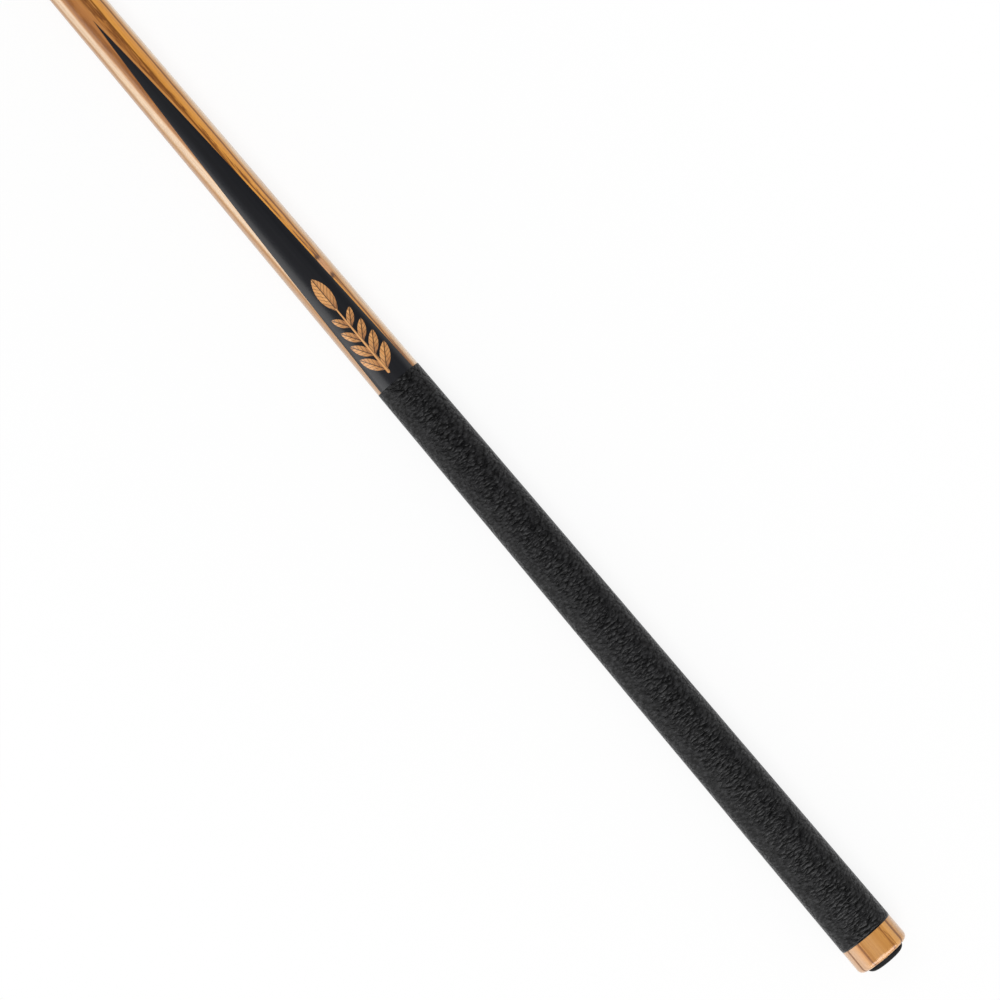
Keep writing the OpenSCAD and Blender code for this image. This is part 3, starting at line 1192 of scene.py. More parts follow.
@dataclass
class Thread:
    """A right-handed screw thread on the cue's axis.

    Attributes:
        major: radius over the crests.
        minor: radius at the roots.
        pitch: distance between crests.
        start: where the thread starts along the cue, fading in over one pitch.
        stop: where it ends.
    """

    major: float
    minor: float
    pitch: float
    start: float
    stop: float

    def radius(self, x: np.ndarray) -> np.ndarray:
        """The thread's surface, with flat crests and round roots.

        The phase is x over the pitch less the angle over a turn. The depth follows a triangle
        wave of the phase, cut off flat near the crests and eased near the roots.

        Args:
            x: places along the cue, one to a row.

        Returns:
            The radii, a row per place and a column per angle.
        """
        phase = (x / self.pitch - np.arange(THREAD_STEPS) / THREAD_STEPS) % 1.0
        wave = soft_step(1.5 * (1 - np.abs(2 * phase - 1)) - 0.25)
        return self.major - (self.major - self.minor) * wave * soft_step((x - self.start) / self.pitch)

    def rows(self, steps: int = 10) -> np.ndarray:
        """Places along the thread, steps of them to a pitch and one to a row."""
        count = round((self.stop - self.start) / self.pitch * steps)
        return np.linspace(self.start, self.stop, count)[:, None]


def threaded(
    lead: np.ndarray, x: np.ndarray, radius: np.ndarray, tail: np.ndarray, ring: bool = False
) -> Shape:
    """A turned skin with a threaded stretch between two plain ones.

    Args:
        lead: places and radii of the plain line before the thread.
        x: the thread's places, one to a row.
        radius: the thread's radii, a row per place and a column per angle.
        tail: places and radii of the plain line after it.
        ring: whether the end of the tail joins the start of the lead.

    Returns:
        The skin.
    """
    angle = np.arange(THREAD_STEPS) * TURN / THREAD_STEPS
    places = np.concatenate([lead[:, :1], x, tail[:, :1]]) + 0 * angle
    plain = [line[:, 1:] + 0 * angle for line in (lead, tail)]
    radii = np.concatenate([plain[0], radius, plain[1]])
    rows = np.stack([places, radii * np.cos(angle), radii * np.sin(angle)], axis=2)
    return lofted(rows, ring=ring, ends=(False, False))


def span(node: str) -> tuple[float, float]:
    """Where a solid starts and ends along the cue."""
    low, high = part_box(node)
    return float(low[0]), float(high[0])


@cache
def material(finish: Finish) -> bpy.types.Material:
    """A finish's material, made once."""
    return finish.material()


def add_piece(name: str, shape: Shape, body: Body, finish: Finish, slot: str, node: str) -> None:
    """Adds a piece of the cue in place of one of its solids.

    Args:
        name: the piece's name.
        shape: its points and faces.
        body: the rigid body that it rides on.
        finish: its finish.
        slot: the record's material slot that the finish belongs to; not used.
        node: the solid that it replaces.
    """
    piece = bpy.data.objects.new(name, shape.mesh(name))
    piece.data.materials.append(material(finish))
    bpy.context.scene.collection.objects.link(piece)
    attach(piece, body.value)
    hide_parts(node)
    log.info("%s: in place of %s, in %s", name, node, finish.name)


def dress(node: str, finish: Finish) -> None:
    """Gives a solid that stays as it is its finish.

    Args:
        node: the solid.
        finish: its finish.
    """
    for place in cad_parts[node].material_slots:
        place.material = material(finish)
    log.info("%s: the solid itself, in %s", node, finish.name)


# -------------------------------------------------------------------------- sub-assemblies


@dataclass(frozen=True)
class Outline:
    """The cue's outside: a cone for the handle, a cone for the forearm and the shaft's taper.

    Attributes:
        sleeve_x: where the butt's wood starts, with butt_end_r as its radius.
        a_joint_x: where the wrap meets the forearm, with a_joint_r as its radius.
        joint_x: where butt and shaft meet, with joint_r as their radius.
        straight_x: where the taper ends and the straight stretch of the shaft starts.
        tip_r: radius of that stretch.
        taper_power: how late the shaft's taper opens towards the joint.
    """

    sleeve_x: float
    a_joint_x: float
    joint_x: float
    straight_x: float
    butt_end_r: float = 15.7 * MM
    a_joint_r: float = 13.25 * MM
    joint_r: float = 10.8 * MM
    tip_r: float = 6.375 * MM
    taper_power: float = 1.25

    # How far the shaft is straight behind its ferrule.
    STRAIGHT_LENGTH = 255 * MM

    @classmethod
    def from_solids(cls) -> "Outline":
        """The outline with its places along the cue read from the solids."""
        rear = [span(node)[0] for node in ("butt_sleeve", "forearm", "shaft")]
        return cls(*rear, straight_x=span("ferrule")[0] - cls.STRAIGHT_LENGTH)

    def butt(self, x: np.ndarray | float) -> np.ndarray:
        """Radius of the butt's outside, straight between its three given places."""
        places = (self.sleeve_x, self.a_joint_x, self.joint_x)
        return np.interp(x, places, (self.butt_end_r, self.a_joint_r, self.joint_r))

    def shaft(self, x: np.ndarray | float) -> np.ndarray:
        """Radius of the shaft: the tip's, and towards the joint a power of the way done."""
        share = np.clip((self.straight_x - x) / (self.straight_x - self.joint_x), 0, None)
        return self.tip_r + (self.joint_r - self.tip_r) * share**self.taper_power


@dataclass
class Bumper:
    """The rubber bumper, and the steel stud that it is moulded round.

    Attributes:
        outer_r: radius of the rubber's side.
        flat_r: radius of its flat end.
        stands_out: how far it stands out of the sleeve.
        lip: thickness of the rubber over the stud's head.
        head_r: radius of the stud's head.
        head_t: thickness of the stud's head.
        stud_r: radius over the thread's crests.
        root_r: radius at its roots.
        pitch: distance between its crests.
        neck: length of the plain neck before it.
        ease: how far the edges of the rubber and of the stud's head are eased.
        chamfer: how far below the roots the stud's end starts.
        gap: room between the rubber and the stud.
    """

    outer_r: float = 11.3 * MM
    flat_r: float = 6.75 * MM
    stands_out: float = 3.2 * MM
    lip: float = 1.2 * MM
    head_r: float = 8.0 * MM
    head_t: float = 1.4 * MM
    stud_r: float = 4.75 * MM
    root_r: float = 3.95 * MM
    pitch: float = 1.5875 * MM
    neck: float = 1 * MM
    ease: float = 0.2 * MM
    chamfer: float = 0.4 * MM
    gap: float = 0.05 * MM

    def build(self) -> None:
        """Adds both pieces."""
        rubber, stud = self.rubber(), self.stud()
        add_piece("bumper_rubber", rubber, Body.BUMPER, RUBBER, "bumper", "bumper")
        add_piece("bumper_stud_steel", stud, Body.STUD, STEEL, "steel_hardware", "bumper_stud")

    def rubber(self) -> Shape:
        """A flat end, a quarter ellipse to the side, and a moulded room for the stud's head.

        Returns:
            The rubber.
        """
        start, flange = span("bumper")
        head_x = span("bumper_stud")[0] - self.gap
        room_x = flange - self.lip + self.gap
        hole_r, room_r = self.stud_r + self.gap, self.head_r + self.gap
        corners = [(start, 0.0)]
        corners += quarter(start, self.flat_r, self.stands_out, self.outer_r - self.flat_r, 18)
        corners += [(flange, self.outer_r, self.ease), (flange, hole_r), (room_x, hole_r)]
        corners += [(room_x, room_r), (head_x, room_r), (head_x, 0.0)]
        return turned(corners)

    def stud(self) -> Shape:
        """A flat head, a neck and a thread with a chamfered end.

        Returns:
            The stud.
        """
        start, stop = span("bumper_stud")
        neck_x = start + self.head_t
        thread = Thread(self.stud_r, self.root_r, self.pitch, neck_x + self.neck, stop)
        head = [
            (start, 0.0),
            (start, self.head_r, self.ease),
            (neck_x, self.head_r, self.ease),
            (neck_x, self.stud_r),
            (neck_x + 0.9 * self.neck, self.stud_r),
        ]
        x = thread.rows(12)
        radius = np.minimum(thread.radius(x), self.root_r - self.chamfer + (stop - x))
        return threaded(profile(head), x, radius, np.array([[stop, 0.0]]))


@dataclass
class Handle:
    """The butt sleeve, the trim ring, the leather wrap and what the handle holds inside.

    Attributes:
        outline: the cue's outside.
        core_r: radius of the bores that the handle's core goes through.
        seat_r: radius of the bumper's seat in the sleeve.
        seat_depth: depth of that seat.
        edge_r: how far the sleeve's rear edge is rounded.
        seat_ease: how far the seat's edge is eased.
        front_ease: how far the sleeve's front edge is eased.
        ring_ease: how far the trim ring's edges are eased.
        leather_t: thickness of the leather.
        proud: how far the leather stands above the outline.
        pressed: how far its edges are rounded.
        seam_w: width of the open seam underneath.
        seam_sink: how deep the seam's edges are rounded, as a share of the other edges.
    """

    outline: Outline
    core_r: float = 9.53 * MM
    seat_r: float = 11.35 * MM
    seat_depth: float = 2.2 * MM
    edge_r: float = 3.0 * MM
    seat_ease: float = 0.15 * MM
    front_ease: float = 0.12 * MM
    ring_ease: float = 0.08 * MM
    leather_t: float = 1.2 * MM
    proud: float = 0.1 * MM
    pressed: float = 0.35 * MM
    seam_w: float = 0.25 * MM
    seam_sink: float = 0.6

    # Points along the leather, round its outside between the seam's lips and round its inside.
    ROWS = 190
    COLUMNS = 118
    INNER_COLUMNS = 25
    # Points over a lip, as shares of its rounding, and the part of a turn that it takes up.
    LIP_COLUMNS = (0, 0.06, 0.18, 0.36, 0.6, 0.9)
    LIP_TURN = 0.006

    def build(self) -> None:
        """Adds the sleeve, the ring and the wrap, and dresses the core and its steel."""
        ring = band(*span("trim_ring"), self.outline.butt, self.core_r, self.ring_ease)
        for name, shape, finish, slot, node in (
            ("butt_sleeve_wood", self.sleeve(), SLEEVE_WOOD, "golden_wood", "butt_sleeve"),
            ("trim_ring_black", ring, BLACK, "black_plastic", "trim_ring"),
            ("leather_wrap", self.wrap(), LEATHER, "wrap_leather", "wrap"),
        ):
            add_piece(name, shape, Body.BUTT, finish, slot, node)
        dress("handle_core", CORE_MAPLE)
        dress("weight_bolt", STEEL)
        dress("a_joint_stud", STEEL)

    def sleeve(self) -> Shape:
        """A wooden cone with a rounded rear edge, a seat for the bumper and a bore.

        Returns:
            The sleeve.
        """
        start, stop = span("butt_sleeve")
        radius = self.outline.butt
        inner = self.outline.butt_end_r - self.edge_r
        rise = float(radius(start + self.edge_r)) - inner
        seat_x = start + self.seat_depth
        corners = [(seat_x, self.core_r), (seat_x, self.seat_r), (start, self.seat_r, self.seat_ease)]
        corners += quarter(start, inner, self.edge_r, rise, 16)
        corners += [(stop, float(radius(stop)), self.front_ease), (stop, self.core_r)]
        return turned(corners, ring=True)

    def drop(self, distance: np.ndarray) -> np.ndarray:
        """How far a quarter circle lies below its top, at a distance from its foot."""
        share = np.clip(distance / self.pressed, 0, 1)
        return self.pressed * (1 - np.sqrt(1 - (1 - share) ** 2))

    def wrap(self) -> Shape:
        """A tapered leather tube, pressed thin at its ends and split by a seam underneath.

        The radius is the cone's, plus what the leather stands proud, less a quarter circle at
        every edge. Its columns run from one lip of the seam round to the other.

        Returns:
            The leather, with its own coordinates.
        """
        start, stop = span("wrap")
        ease = self.pressed * (1 - np.cos(np.linspace(0, math.pi / 2, CORNER_POINTS)))
        along = np.linspace(start, stop, self.ROWS)[1:-1]
        x = np.unique(np.concatenate([start + ease, along, stop - ease[::-1]]))[:, None]
        girth = TURN * self.outline.butt(x)
        edge = self.seam_w / 2 / girth
        lip = np.array(self.LIP_COLUMNS) * self.pressed / girth
        first = edge + self.LIP_TURN
        free = mixed(first, 1 - first, np.linspace(0, 1, self.COLUMNS))
        turn = np.concatenate([edge + lip, free, 1 - edge - lip[:, ::-1]], axis=1)

        sunk = self.drop(x - start) + self.drop(stop - x)
        for distance in (turn - edge, 1 - edge - turn):
            sunk = sunk + self.seam_sink * self.drop(distance * girth)
        outer_r = self.outline.butt(x) + self.proud
        outer = round_points(x, outer_r - sunk, math.pi + TURN * turn)
        inner_turn = mixed(edge, 1 - edge, np.linspace(0, 1, self.INNER_COLUMNS))
        inner = round_points(x, outer_r - self.leather_t, math.pi + TURN * inner_turn)
        shape = between(outer, inner)
        skin = np.stack(np.broadcast_arrays(x - start, turn * TURN * self.outline.a_joint_r), axis=2)
        under = np.zeros((*inner.shape[:2], 2))
        shape.layer = ("hide", np.concatenate([skin, under], axis=1).reshape(-1, 2))
        return shape


@dataclass
class Forearm:
    """Golden wood with two black points spliced into it, each with a spray of leaves.

    Attributes:
        outline: the cue's outside.
        point_length: length of a point.
        point_depth: depth of its groove at the A-joint.
        groove_angle: angle between the groove's walls, in degrees.
        knee: share of a wall's columns that run along the stud's bore.
        stud_bore_r: radius of the bore for the A-joint's stud.
        pin_bore_r: radius of the bore for the joint's pin.
        tenon_r: radius of the tenon that the ring and the collar sit on.
        inlay_clear: bare point between the A-joint and the leaf spray.
        inlay_length: length of the spray.
        inlay_depth: depth of its pocket.
        inlay_proud: how far a leaf stands above the point.
        stem_proud: how much further the stem does.
        leaf_length: length of the lowest leaves.
        leaf_slimness: width of a leaf over its length.
        leaf_angle: angle between a leaf and the stem, in degrees.
        leaf_pairs: number of pairs of leaves.
        leaf_shrink: how much shorter a leaf would be at the stem's end, as a share.
        top_leaf: length of the top leaf over that of the spray.
        stem_w: width of the stem at its foot.
        start: where the forearm starts along the cue.
        tip_x: where the points end.
        bore_end: where the stud's bore ends.
    """

    outline: Outline
    point_length: float = 243.0 * MM
    point_depth: float = 13.5 * MM
    groove_angle: float = 106.0
    knee: float = 0.5
    stud_bore_r: float = 4.78 * MM
    pin_bore_r: float = 4.78 * MM
    tenon_r: float = 8.5 * MM
    inlay_clear: float = 5.0 * MM
    inlay_length: float = 63.0 * MM
    inlay_depth: float = 1.0 * MM
    inlay_proud: float = 0.015 * MM
    stem_proud: float = 0.012 * MM
    leaf_length: float = 15.0 * MM
    leaf_slimness: float = 0.36
    leaf_angle: float = 33.0
    leaf_pairs: int = 4
    leaf_shrink: float = 0.36
    top_leaf: float = 0.34
    stem_w: float = 1.6 * MM
    start: float = field(init=False)
    tip_x: float = field(init=False)
    bore_end: float = field(init=False)

    # Points along the stud's bore, from there to the points' tips and from there to the ring.
    BORED_ROWS = 14
    FREE_ROWS = 84
    PLAIN_ROWS = 30
    # Points across a black point, over the upper part of a groove's wall and over a flank.
    POINT_COLUMNS = 41
    WALL_COLUMNS = 6
    FLANK_COLUMNS = 73
    # Points along and across a leaf and the stem.
    LEAF_GRID = (25, 13)
    STEM_GRID = (60, 7)

    def __post_init__(self) -> None:
        """Reads the places along the cue from the solids."""
        self.start = span("forearm")[0]
        self.tip_x = self.start + self.point_length
        self.bore_end = span("a_joint_stud")[1]

    def build(self) -> None:
        """Adds the wood, the points and the leaves."""
        pieces = [("forearm_wood", self.wood(), FOREARM_WOOD, "golden_wood", "forearm")]
        point, spray = self.point(), self.spray()
        for side, black, light in (
            ("front", point, spray),
            ("back", point.turned_over(), spray.turned_over()),
        ):
            pieces.append((f"black_point_{side}", black, BLACK_WOOD, "point_wood", f"point_{side}"))
            pieces.append((f"leaf_inlay_{side}", light, LEAF_WOOD, "inlay_wood", f"inlay_{side}"))
        for name, shape, finish, slot, node in pieces:
            add_piece(name, shape, Body.BUTT, finish, slot, node)

    def keel(self, x: np.ndarray) -> np.ndarray:
        """Height of the groove's bottom, rising straight from the A-joint to the point's tip.

        Args:
            x: places along the cue.

        Returns:
            The heights, which past the tip are the cone's own.
        """
        foot = float(self.outline.butt(self.start)) - self.point_depth
        share = (x - self.start) / self.point_length
        rising = mixed(foot, float(self.outline.butt(self.tip_x)), share)
        return np.minimum(rising, self.outline.butt(x))

    def bottom(self, x: np.ndarray) -> np.ndarray:
        """The points of the groove's bottom."""
        return np.stack([x, 0 * x, self.keel(x)], axis=-1)

    def meeting(self, x: np.ndarray, radius: np.ndarray | float) -> np.ndarray:
        """The angle from +Z at which the groove's wall meets a circle.

        A wall leans by a from upright and starts at the keel's height k. It meets the circle of
        radius r at the angle a less the arc sine of k sin a over r.

        Args:
            x: places along the cue.
            radius: the circle's radius at each of them.

        Returns:
            The angles.
        """
        rise = (self.keel(self.tip_x) - self.keel(self.start)) / self.point_length
        lean = math.atan(math.tan(math.radians(self.groove_angle / 2)) * math.cos(math.atan(rise)))
        return lean - np.arcsin(np.clip(self.keel(x) / radius * math.sin(lean), -1, 1))

    def rim(self, x: np.ndarray, radius: np.ndarray | float) -> np.ndarray:
        """The points at which the groove's right wall meets circles of a radius."""
        return round_points(x, radius, self.meeting(x, radius))

    def wall(self, x: np.ndarray, share: np.ndarray, bored: bool) -> np.ndarray:
        """The groove's right wall, a row per place and a column per share.

        From share 0 to the knee it runs along the stud's bore, or up the lower part of the wall
        where there is no bore. From the knee to share 1 it runs straight up to the surface. The
        lower part is as high as it is where the bore ends.

        Args:
            x: places along the cue.
            share: the way done across the wall, from 0 to 1.
            bored: whether the stud's bore runs through these places.

        Returns:
            The wall's points.
        """
        x = x[:, None]
        rim = self.rim(x, self.outline.butt(x))
        low_share = np.clip(share / self.knee, 0, 1)[None, :]
        if bored:
            corner = self.meeting(x, self.stud_bore_r)
            knee = round_points(x, self.stud_bore_r, corner)
            low = round_points(x, self.stud_bore_r, corner * low_share)
        else:
            last, bottom = np.array([[self.bore_end]]), self.bottom(x)
            low_part = np.linalg.norm(self.rim(last, self.stud_bore_r) - self.bottom(last))
            whole = np.linalg.norm(self.rim(last, self.outline.butt(last)) - self.bottom(last))
            knee = mixed(bottom, rim, low_part / whole)
            low = mixed(bottom, knee, low_share[..., None])
        high_share = np.clip((share - self.knee) / (1 - self.knee), 0, 1)[None, :, None]
        return np.where(share[None, :, None] > self.knee, mixed(knee, rim, high_share), low)

    def stretches(self) -> tuple[np.ndarray, np.ndarray]:
        """Places along the bored stretch of the points, and from the bore's end to their tips."""
        bored = np.linspace(self.start, self.bore_end, self.BORED_ROWS)
        return bored, np.linspace(self.bore_end, self.tip_x, self.FREE_ROWS)

    def point(self) -> Shape:
        """A black point: the cone's surface between the groove's rims, and the groove's walls.

        Returns:
            The front point.
        """
        outer, inner = [], []
        side = np.linspace(-1, 1, self.POINT_COLUMNS)
        mirror = np.stack([1 + 0 * side, np.sign(side), 1 + 0 * side], axis=1)
        for x, bored in zip(self.stretches(), (True, False), strict=True):
            radius = self.outline.butt(x)[:, None]
            spread = self.meeting(x[:, None], radius)
            outer.append(round_points(x[:, None], radius, spread * side))
            inner.append(self.wall(x, np.abs(side), bored) * mirror)
        return between(np.concatenate(outer), np.concatenate(inner))

    def right_half(self, x: np.ndarray, bored: bool) -> np.ndarray:
        """The wood's outside from the front groove's knee, over its right flank, to the back's.

        Args:
            x: places along the cue.
            bored: whether the stud's bore runs through them.

        Returns:
            The points, a row per place.
        """
        wall = self.wall(x, np.linspace(self.knee, 1, self.WALL_COLUMNS), bored)
        radius = self.outline.butt(x)[:, None]
        rim = self.meeting(x[:, None], radius)
        steps = np.linspace(0, 1, self.FLANK_COLUMNS)[1:-1]
        flank = round_points(x[:, None], radius, mixed(rim, math.pi - rim, steps))
        return np.concatenate([wall, flank, wall[:, ::-1] * (1, 1, -1)], axis=1)

    def crescent(self) -> tuple[Shape, np.ndarray]:
        """The wood on the right of the stud's bore, open at the bore's end.

        Returns:
            The wood, and the points of its edge at the bore's end.
        """
        bored, _ = self.stretches()
        outer = self.right_half(bored, True)
        corner = self.meeting(bored[:, None], self.stud_bore_r)
        steps = np.linspace(0, 1, outer.shape[1])
        inner = round_points(bored[:, None], self.stud_bore_r, mixed(corner, math.pi - corner, steps))
        return between(outer, inner, ends=(True, False)), inner[-1]

    def tenon(self) -> np.ndarray:
        """The line of the tenon and of the pin's bore behind its end.

        Returns:
            Places and radii, from the ring's seat to the bore's bottom.
        """
        ring_x, joint_x = span("butt_ring")[0], span("forearm")[1]
        pin_x = span("joint_pin")[0]
        corners = [
            (ring_x, float(self.outline.butt(ring_x))),
            (ring_x, self.tenon_r),
            (joint_x, self.tenon_r),
            (joint_x, self.pin_bore_r),
            (pin_x, self.pin_bore_r),
            (pin_x, 0.0),
        ]
        return profile(corners)

    def wood(self) -> Shape:
        """The wood: two crescents beside the stud's bore, then one cross-section to the joint.

        Past the bore a cross-section runs from the front keel over the right flank to the back
        keel and over the left flank home. Past the points' tips both keels lie on the cone, and
        the same columns carry on over the tenon and into the pin's bore.

        Returns:
            The wood, with each point's distance from the black points.
        """
        over = np.array([1, -1, -1])
        crescent, bore_edge = self.crescent()
        ring_x = span("butt_ring")[0]
        plain = np.linspace(self.tip_x, ring_x, self.PLAIN_ROWS)[1:]
        x = np.concatenate([self.stretches()[1], plain])
        half = self.right_half(x, False)
        keel = self.bottom(x)[:, None, :]
        body = np.concatenate([keel, half, keel * over, half * over], axis=1)
        line = self.tenon()[:, None, :]
        tenon = body[-1:] * (0, 1, 1) / self.outline.butt(ring_x) * line[..., 1:]
        tenon = tenon + line[..., :1] * np.array([1, 0, 0])
        rest = lofted(np.concatenate([body, tenon]), ends=(False, False))

        floor = np.concatenate([keel[0], bore_edge, keel[0] * over, bore_edge * over])
        bore_end = Shape(floor, [np.arange(len(floor))[None]])
        shape = joined([crescent, crescent.turned_over(), rest, bore_end])
        shape.gap = self.from_points(shape.points)
        return shape

    def from_points(self, places: np.ndarray) -> np.ndarray:
        """How far each place lies from the nearer black point.

        That is the arc from the groove's rim and, past the tips, a sixth of the way beyond them.

        Args:
            places: the places, one to a row.

        Returns:
            The distances.
        """
        x, y, z = places.T
        radius = self.outline.butt(x)
        arc = (np.arctan2(np.abs(y), np.abs(z)) - self.meeting(x, radius)) * radius
        return np.hypot(arc, np.maximum(x - self.tip_x, 0) / 6)

    def slip(self, x: np.ndarray, y: np.ndarray, along: np.ndarray, side: np.ndarray, lift: float) -> Shape:
        """A slip of light wood in the point's surface: its top on the cone, its floor below.

        The height over each place is the root of the radius squared less y squared.

        Args:
            x: places along the cue, rows by columns.
            y: places across it.
            along: distance from the slip's foot, for the finish.
            side: distance from the slip's middle line, for the finish.
            lift: how far the top stands above the cone.

        Returns:
            The slip.
        """
        radius = self.outline.butt(x)
        top = np.stack([x, y, np.sqrt((radius + lift) ** 2 - y**2)], axis=2)
        floor = np.stack([x, y, np.sqrt((radius - self.inlay_depth) ** 2 - y**2)], axis=2)
        shape = between(top, floor)
        skin = np.stack(np.broadcast_arrays(along, side), axis=2)
        shape.layer = ("leaf", np.concatenate([skin, skin[:, ::-1]], axis=1).reshape(-1, 2))
        return shape

    def leaf(self, foot_x: float, angle: float, length: float) -> Shape:
        """A leaf bounded by two equal arcs.

        Half the width at a distance u is the root of r squared less (u less half the length)
        squared, less what is left when half the greatest width is taken from r.

        Args:
            foot_x: where its foot stands on the stem.
            angle: its angle to the stem, in degrees.
            length: its length.

        Returns:
            The leaf.
        """
        rows, columns = self.LEAF_GRID
        width = length * self.leaf_slimness
        arc = (length**2 + width**2) / (4 * width)
        u = length * (1 - np.cos(np.linspace(0, math.pi, rows)))[:, None] / 2
        half = np.sqrt(arc**2 - (u - length / 2) ** 2) - (arc - width / 2)
        v = np.maximum(half, 0) * np.linspace(-1, 1, columns)
        cos, sin = math.cos(math.radians(angle)), math.sin(math.radians(angle))
        x = self.start + self.inlay_clear + foot_x + u * cos - v * sin
        return self.slip(x, u * sin + v * cos, u + 0 * v, v, self.inlay_proud)

    def stem(self, length: float) -> Shape:
        """The stem, half as wide at its end as at its foot, with a round foot.

        Its finish is that of a place far from a leaf's foot and from its veins.

        Args:
            length: its length.

        Returns:
            The stem.
        """
        rows, columns = self.STEM_GRID
        u = np.linspace(0, 1, rows)[:, None] ** 1.5 * length
        blunt = np.sqrt(1 - np.clip(1 - 2 * u / self.stem_w, 0, 1) ** 2)
        half = mixed(self.stem_w / 2, self.stem_w / 4, u / u[-1]) * blunt
        v = half * np.linspace(-1, 1, columns)
        x = self.start + self.inlay_clear + u + 0 * v
        plain_along, plain_side = 30 * MM + 0 * v, v + 3 * MM
        return self.slip(x, v, plain_along, plain_side, self.inlay_proud + self.stem_proud)

    def spray(self) -> Shape:
        """The stem, pairs of leaves that shrink upwards, and a top leaf.

        Returns:
            The front spray.
        """
        top_leaf = self.inlay_length * self.top_leaf
        stem_length = self.inlay_length - top_leaf
        step = stem_length / (self.leaf_pairs + 0.4)
        slips = [self.stem(stem_length + self.stem_w), self.leaf(stem_length, 0.0, top_leaf)]
        for pair in range(self.leaf_pairs):
            length = self.leaf_length * (1 - self.leaf_shrink * pair / self.leaf_pairs)
            for side in (-1, 1):
                foot_x = step * (pair + 0.25) + side * self.stem_w / 12
                slips.append(self.leaf(foot_x, side * self.leaf_angle, length))
        return joined(slips)


@dataclass
class JointHardware:
    """The butt's half of the joint: a metal ring, a black collar and the threaded pin.

    Attributes:
        outline: the cue's outside.
        bore_r: radius of the ring's and the collar's bores.
        ease: how far their outer edges are eased.
        pin_r: radius over the thread's crests.
        root_r: radius at its roots, and of the pin's plain nose.
        nose_length: length of that nose.
        nose_ease: how far the nose's end is rounded.
        foot: length of the pin's plain foot.
        pitch: distance between the thread's crests.
    """

    outline: Outline
    bore_r: float = 8.53 * MM
    ease: float = 0.15 * MM
    pin_r: float = 4.75 * MM
    root_r: float = 3.8 * MM
    nose_length: float = 4.0 * MM
    nose_ease: float = 1 * MM
    foot: float = 1 * MM
    pitch: float = 2.54 * MM

    def build(self) -> None:
        """Adds the three pieces."""
        ring, collar = (
            band(*span(node), self.outline.butt, self.bore_r, self.ease)
            for node in ("butt_ring", "butt_collar")
        )
        for name, shape, finish, slot, node in (
            ("butt_joint_ring", ring, BRIGHT, "ring_metal", "butt_ring"),
            ("butt_joint_collar", collar, BLACK, "black_plastic", "butt_collar"),
            ("threaded_joint_pin", self.pin(), PIN_STEEL, "pin_steel", "joint_pin"),
        ):
            add_piece(name, shape, Body.BUTT, finish, slot, node)

    def thread(self, start: float, stop: float) -> Thread:
        """The joint's thread between two places, in step wherever it is cut."""
        return Thread(self.pin_r, self.root_r, self.pitch, start, stop)

    def pin(self) -> Shape:
        """A threaded pin with a chamfer and a plain rounded nose.

        Returns:
            The pin.
        """
        start, stop = span("joint_pin")
        nose_x = stop - self.nose_length
        thread = self.thread(start + self.foot, nose_x)
        x = thread.rows()
        radius = np.minimum(thread.radius(x), np.maximum(self.root_r, self.root_r + nose_x - x))
        lead = [(start, 0.0), (start, self.pin_r), (start + 0.9 * self.foot, self.pin_r)]
        nose = [(nose_x + 0.1 * MM, self.root_r), (stop, self.root_r, self.nose_ease), (stop, 0.0)]
        return threaded(profile(lead), x, radius, profile(nose))


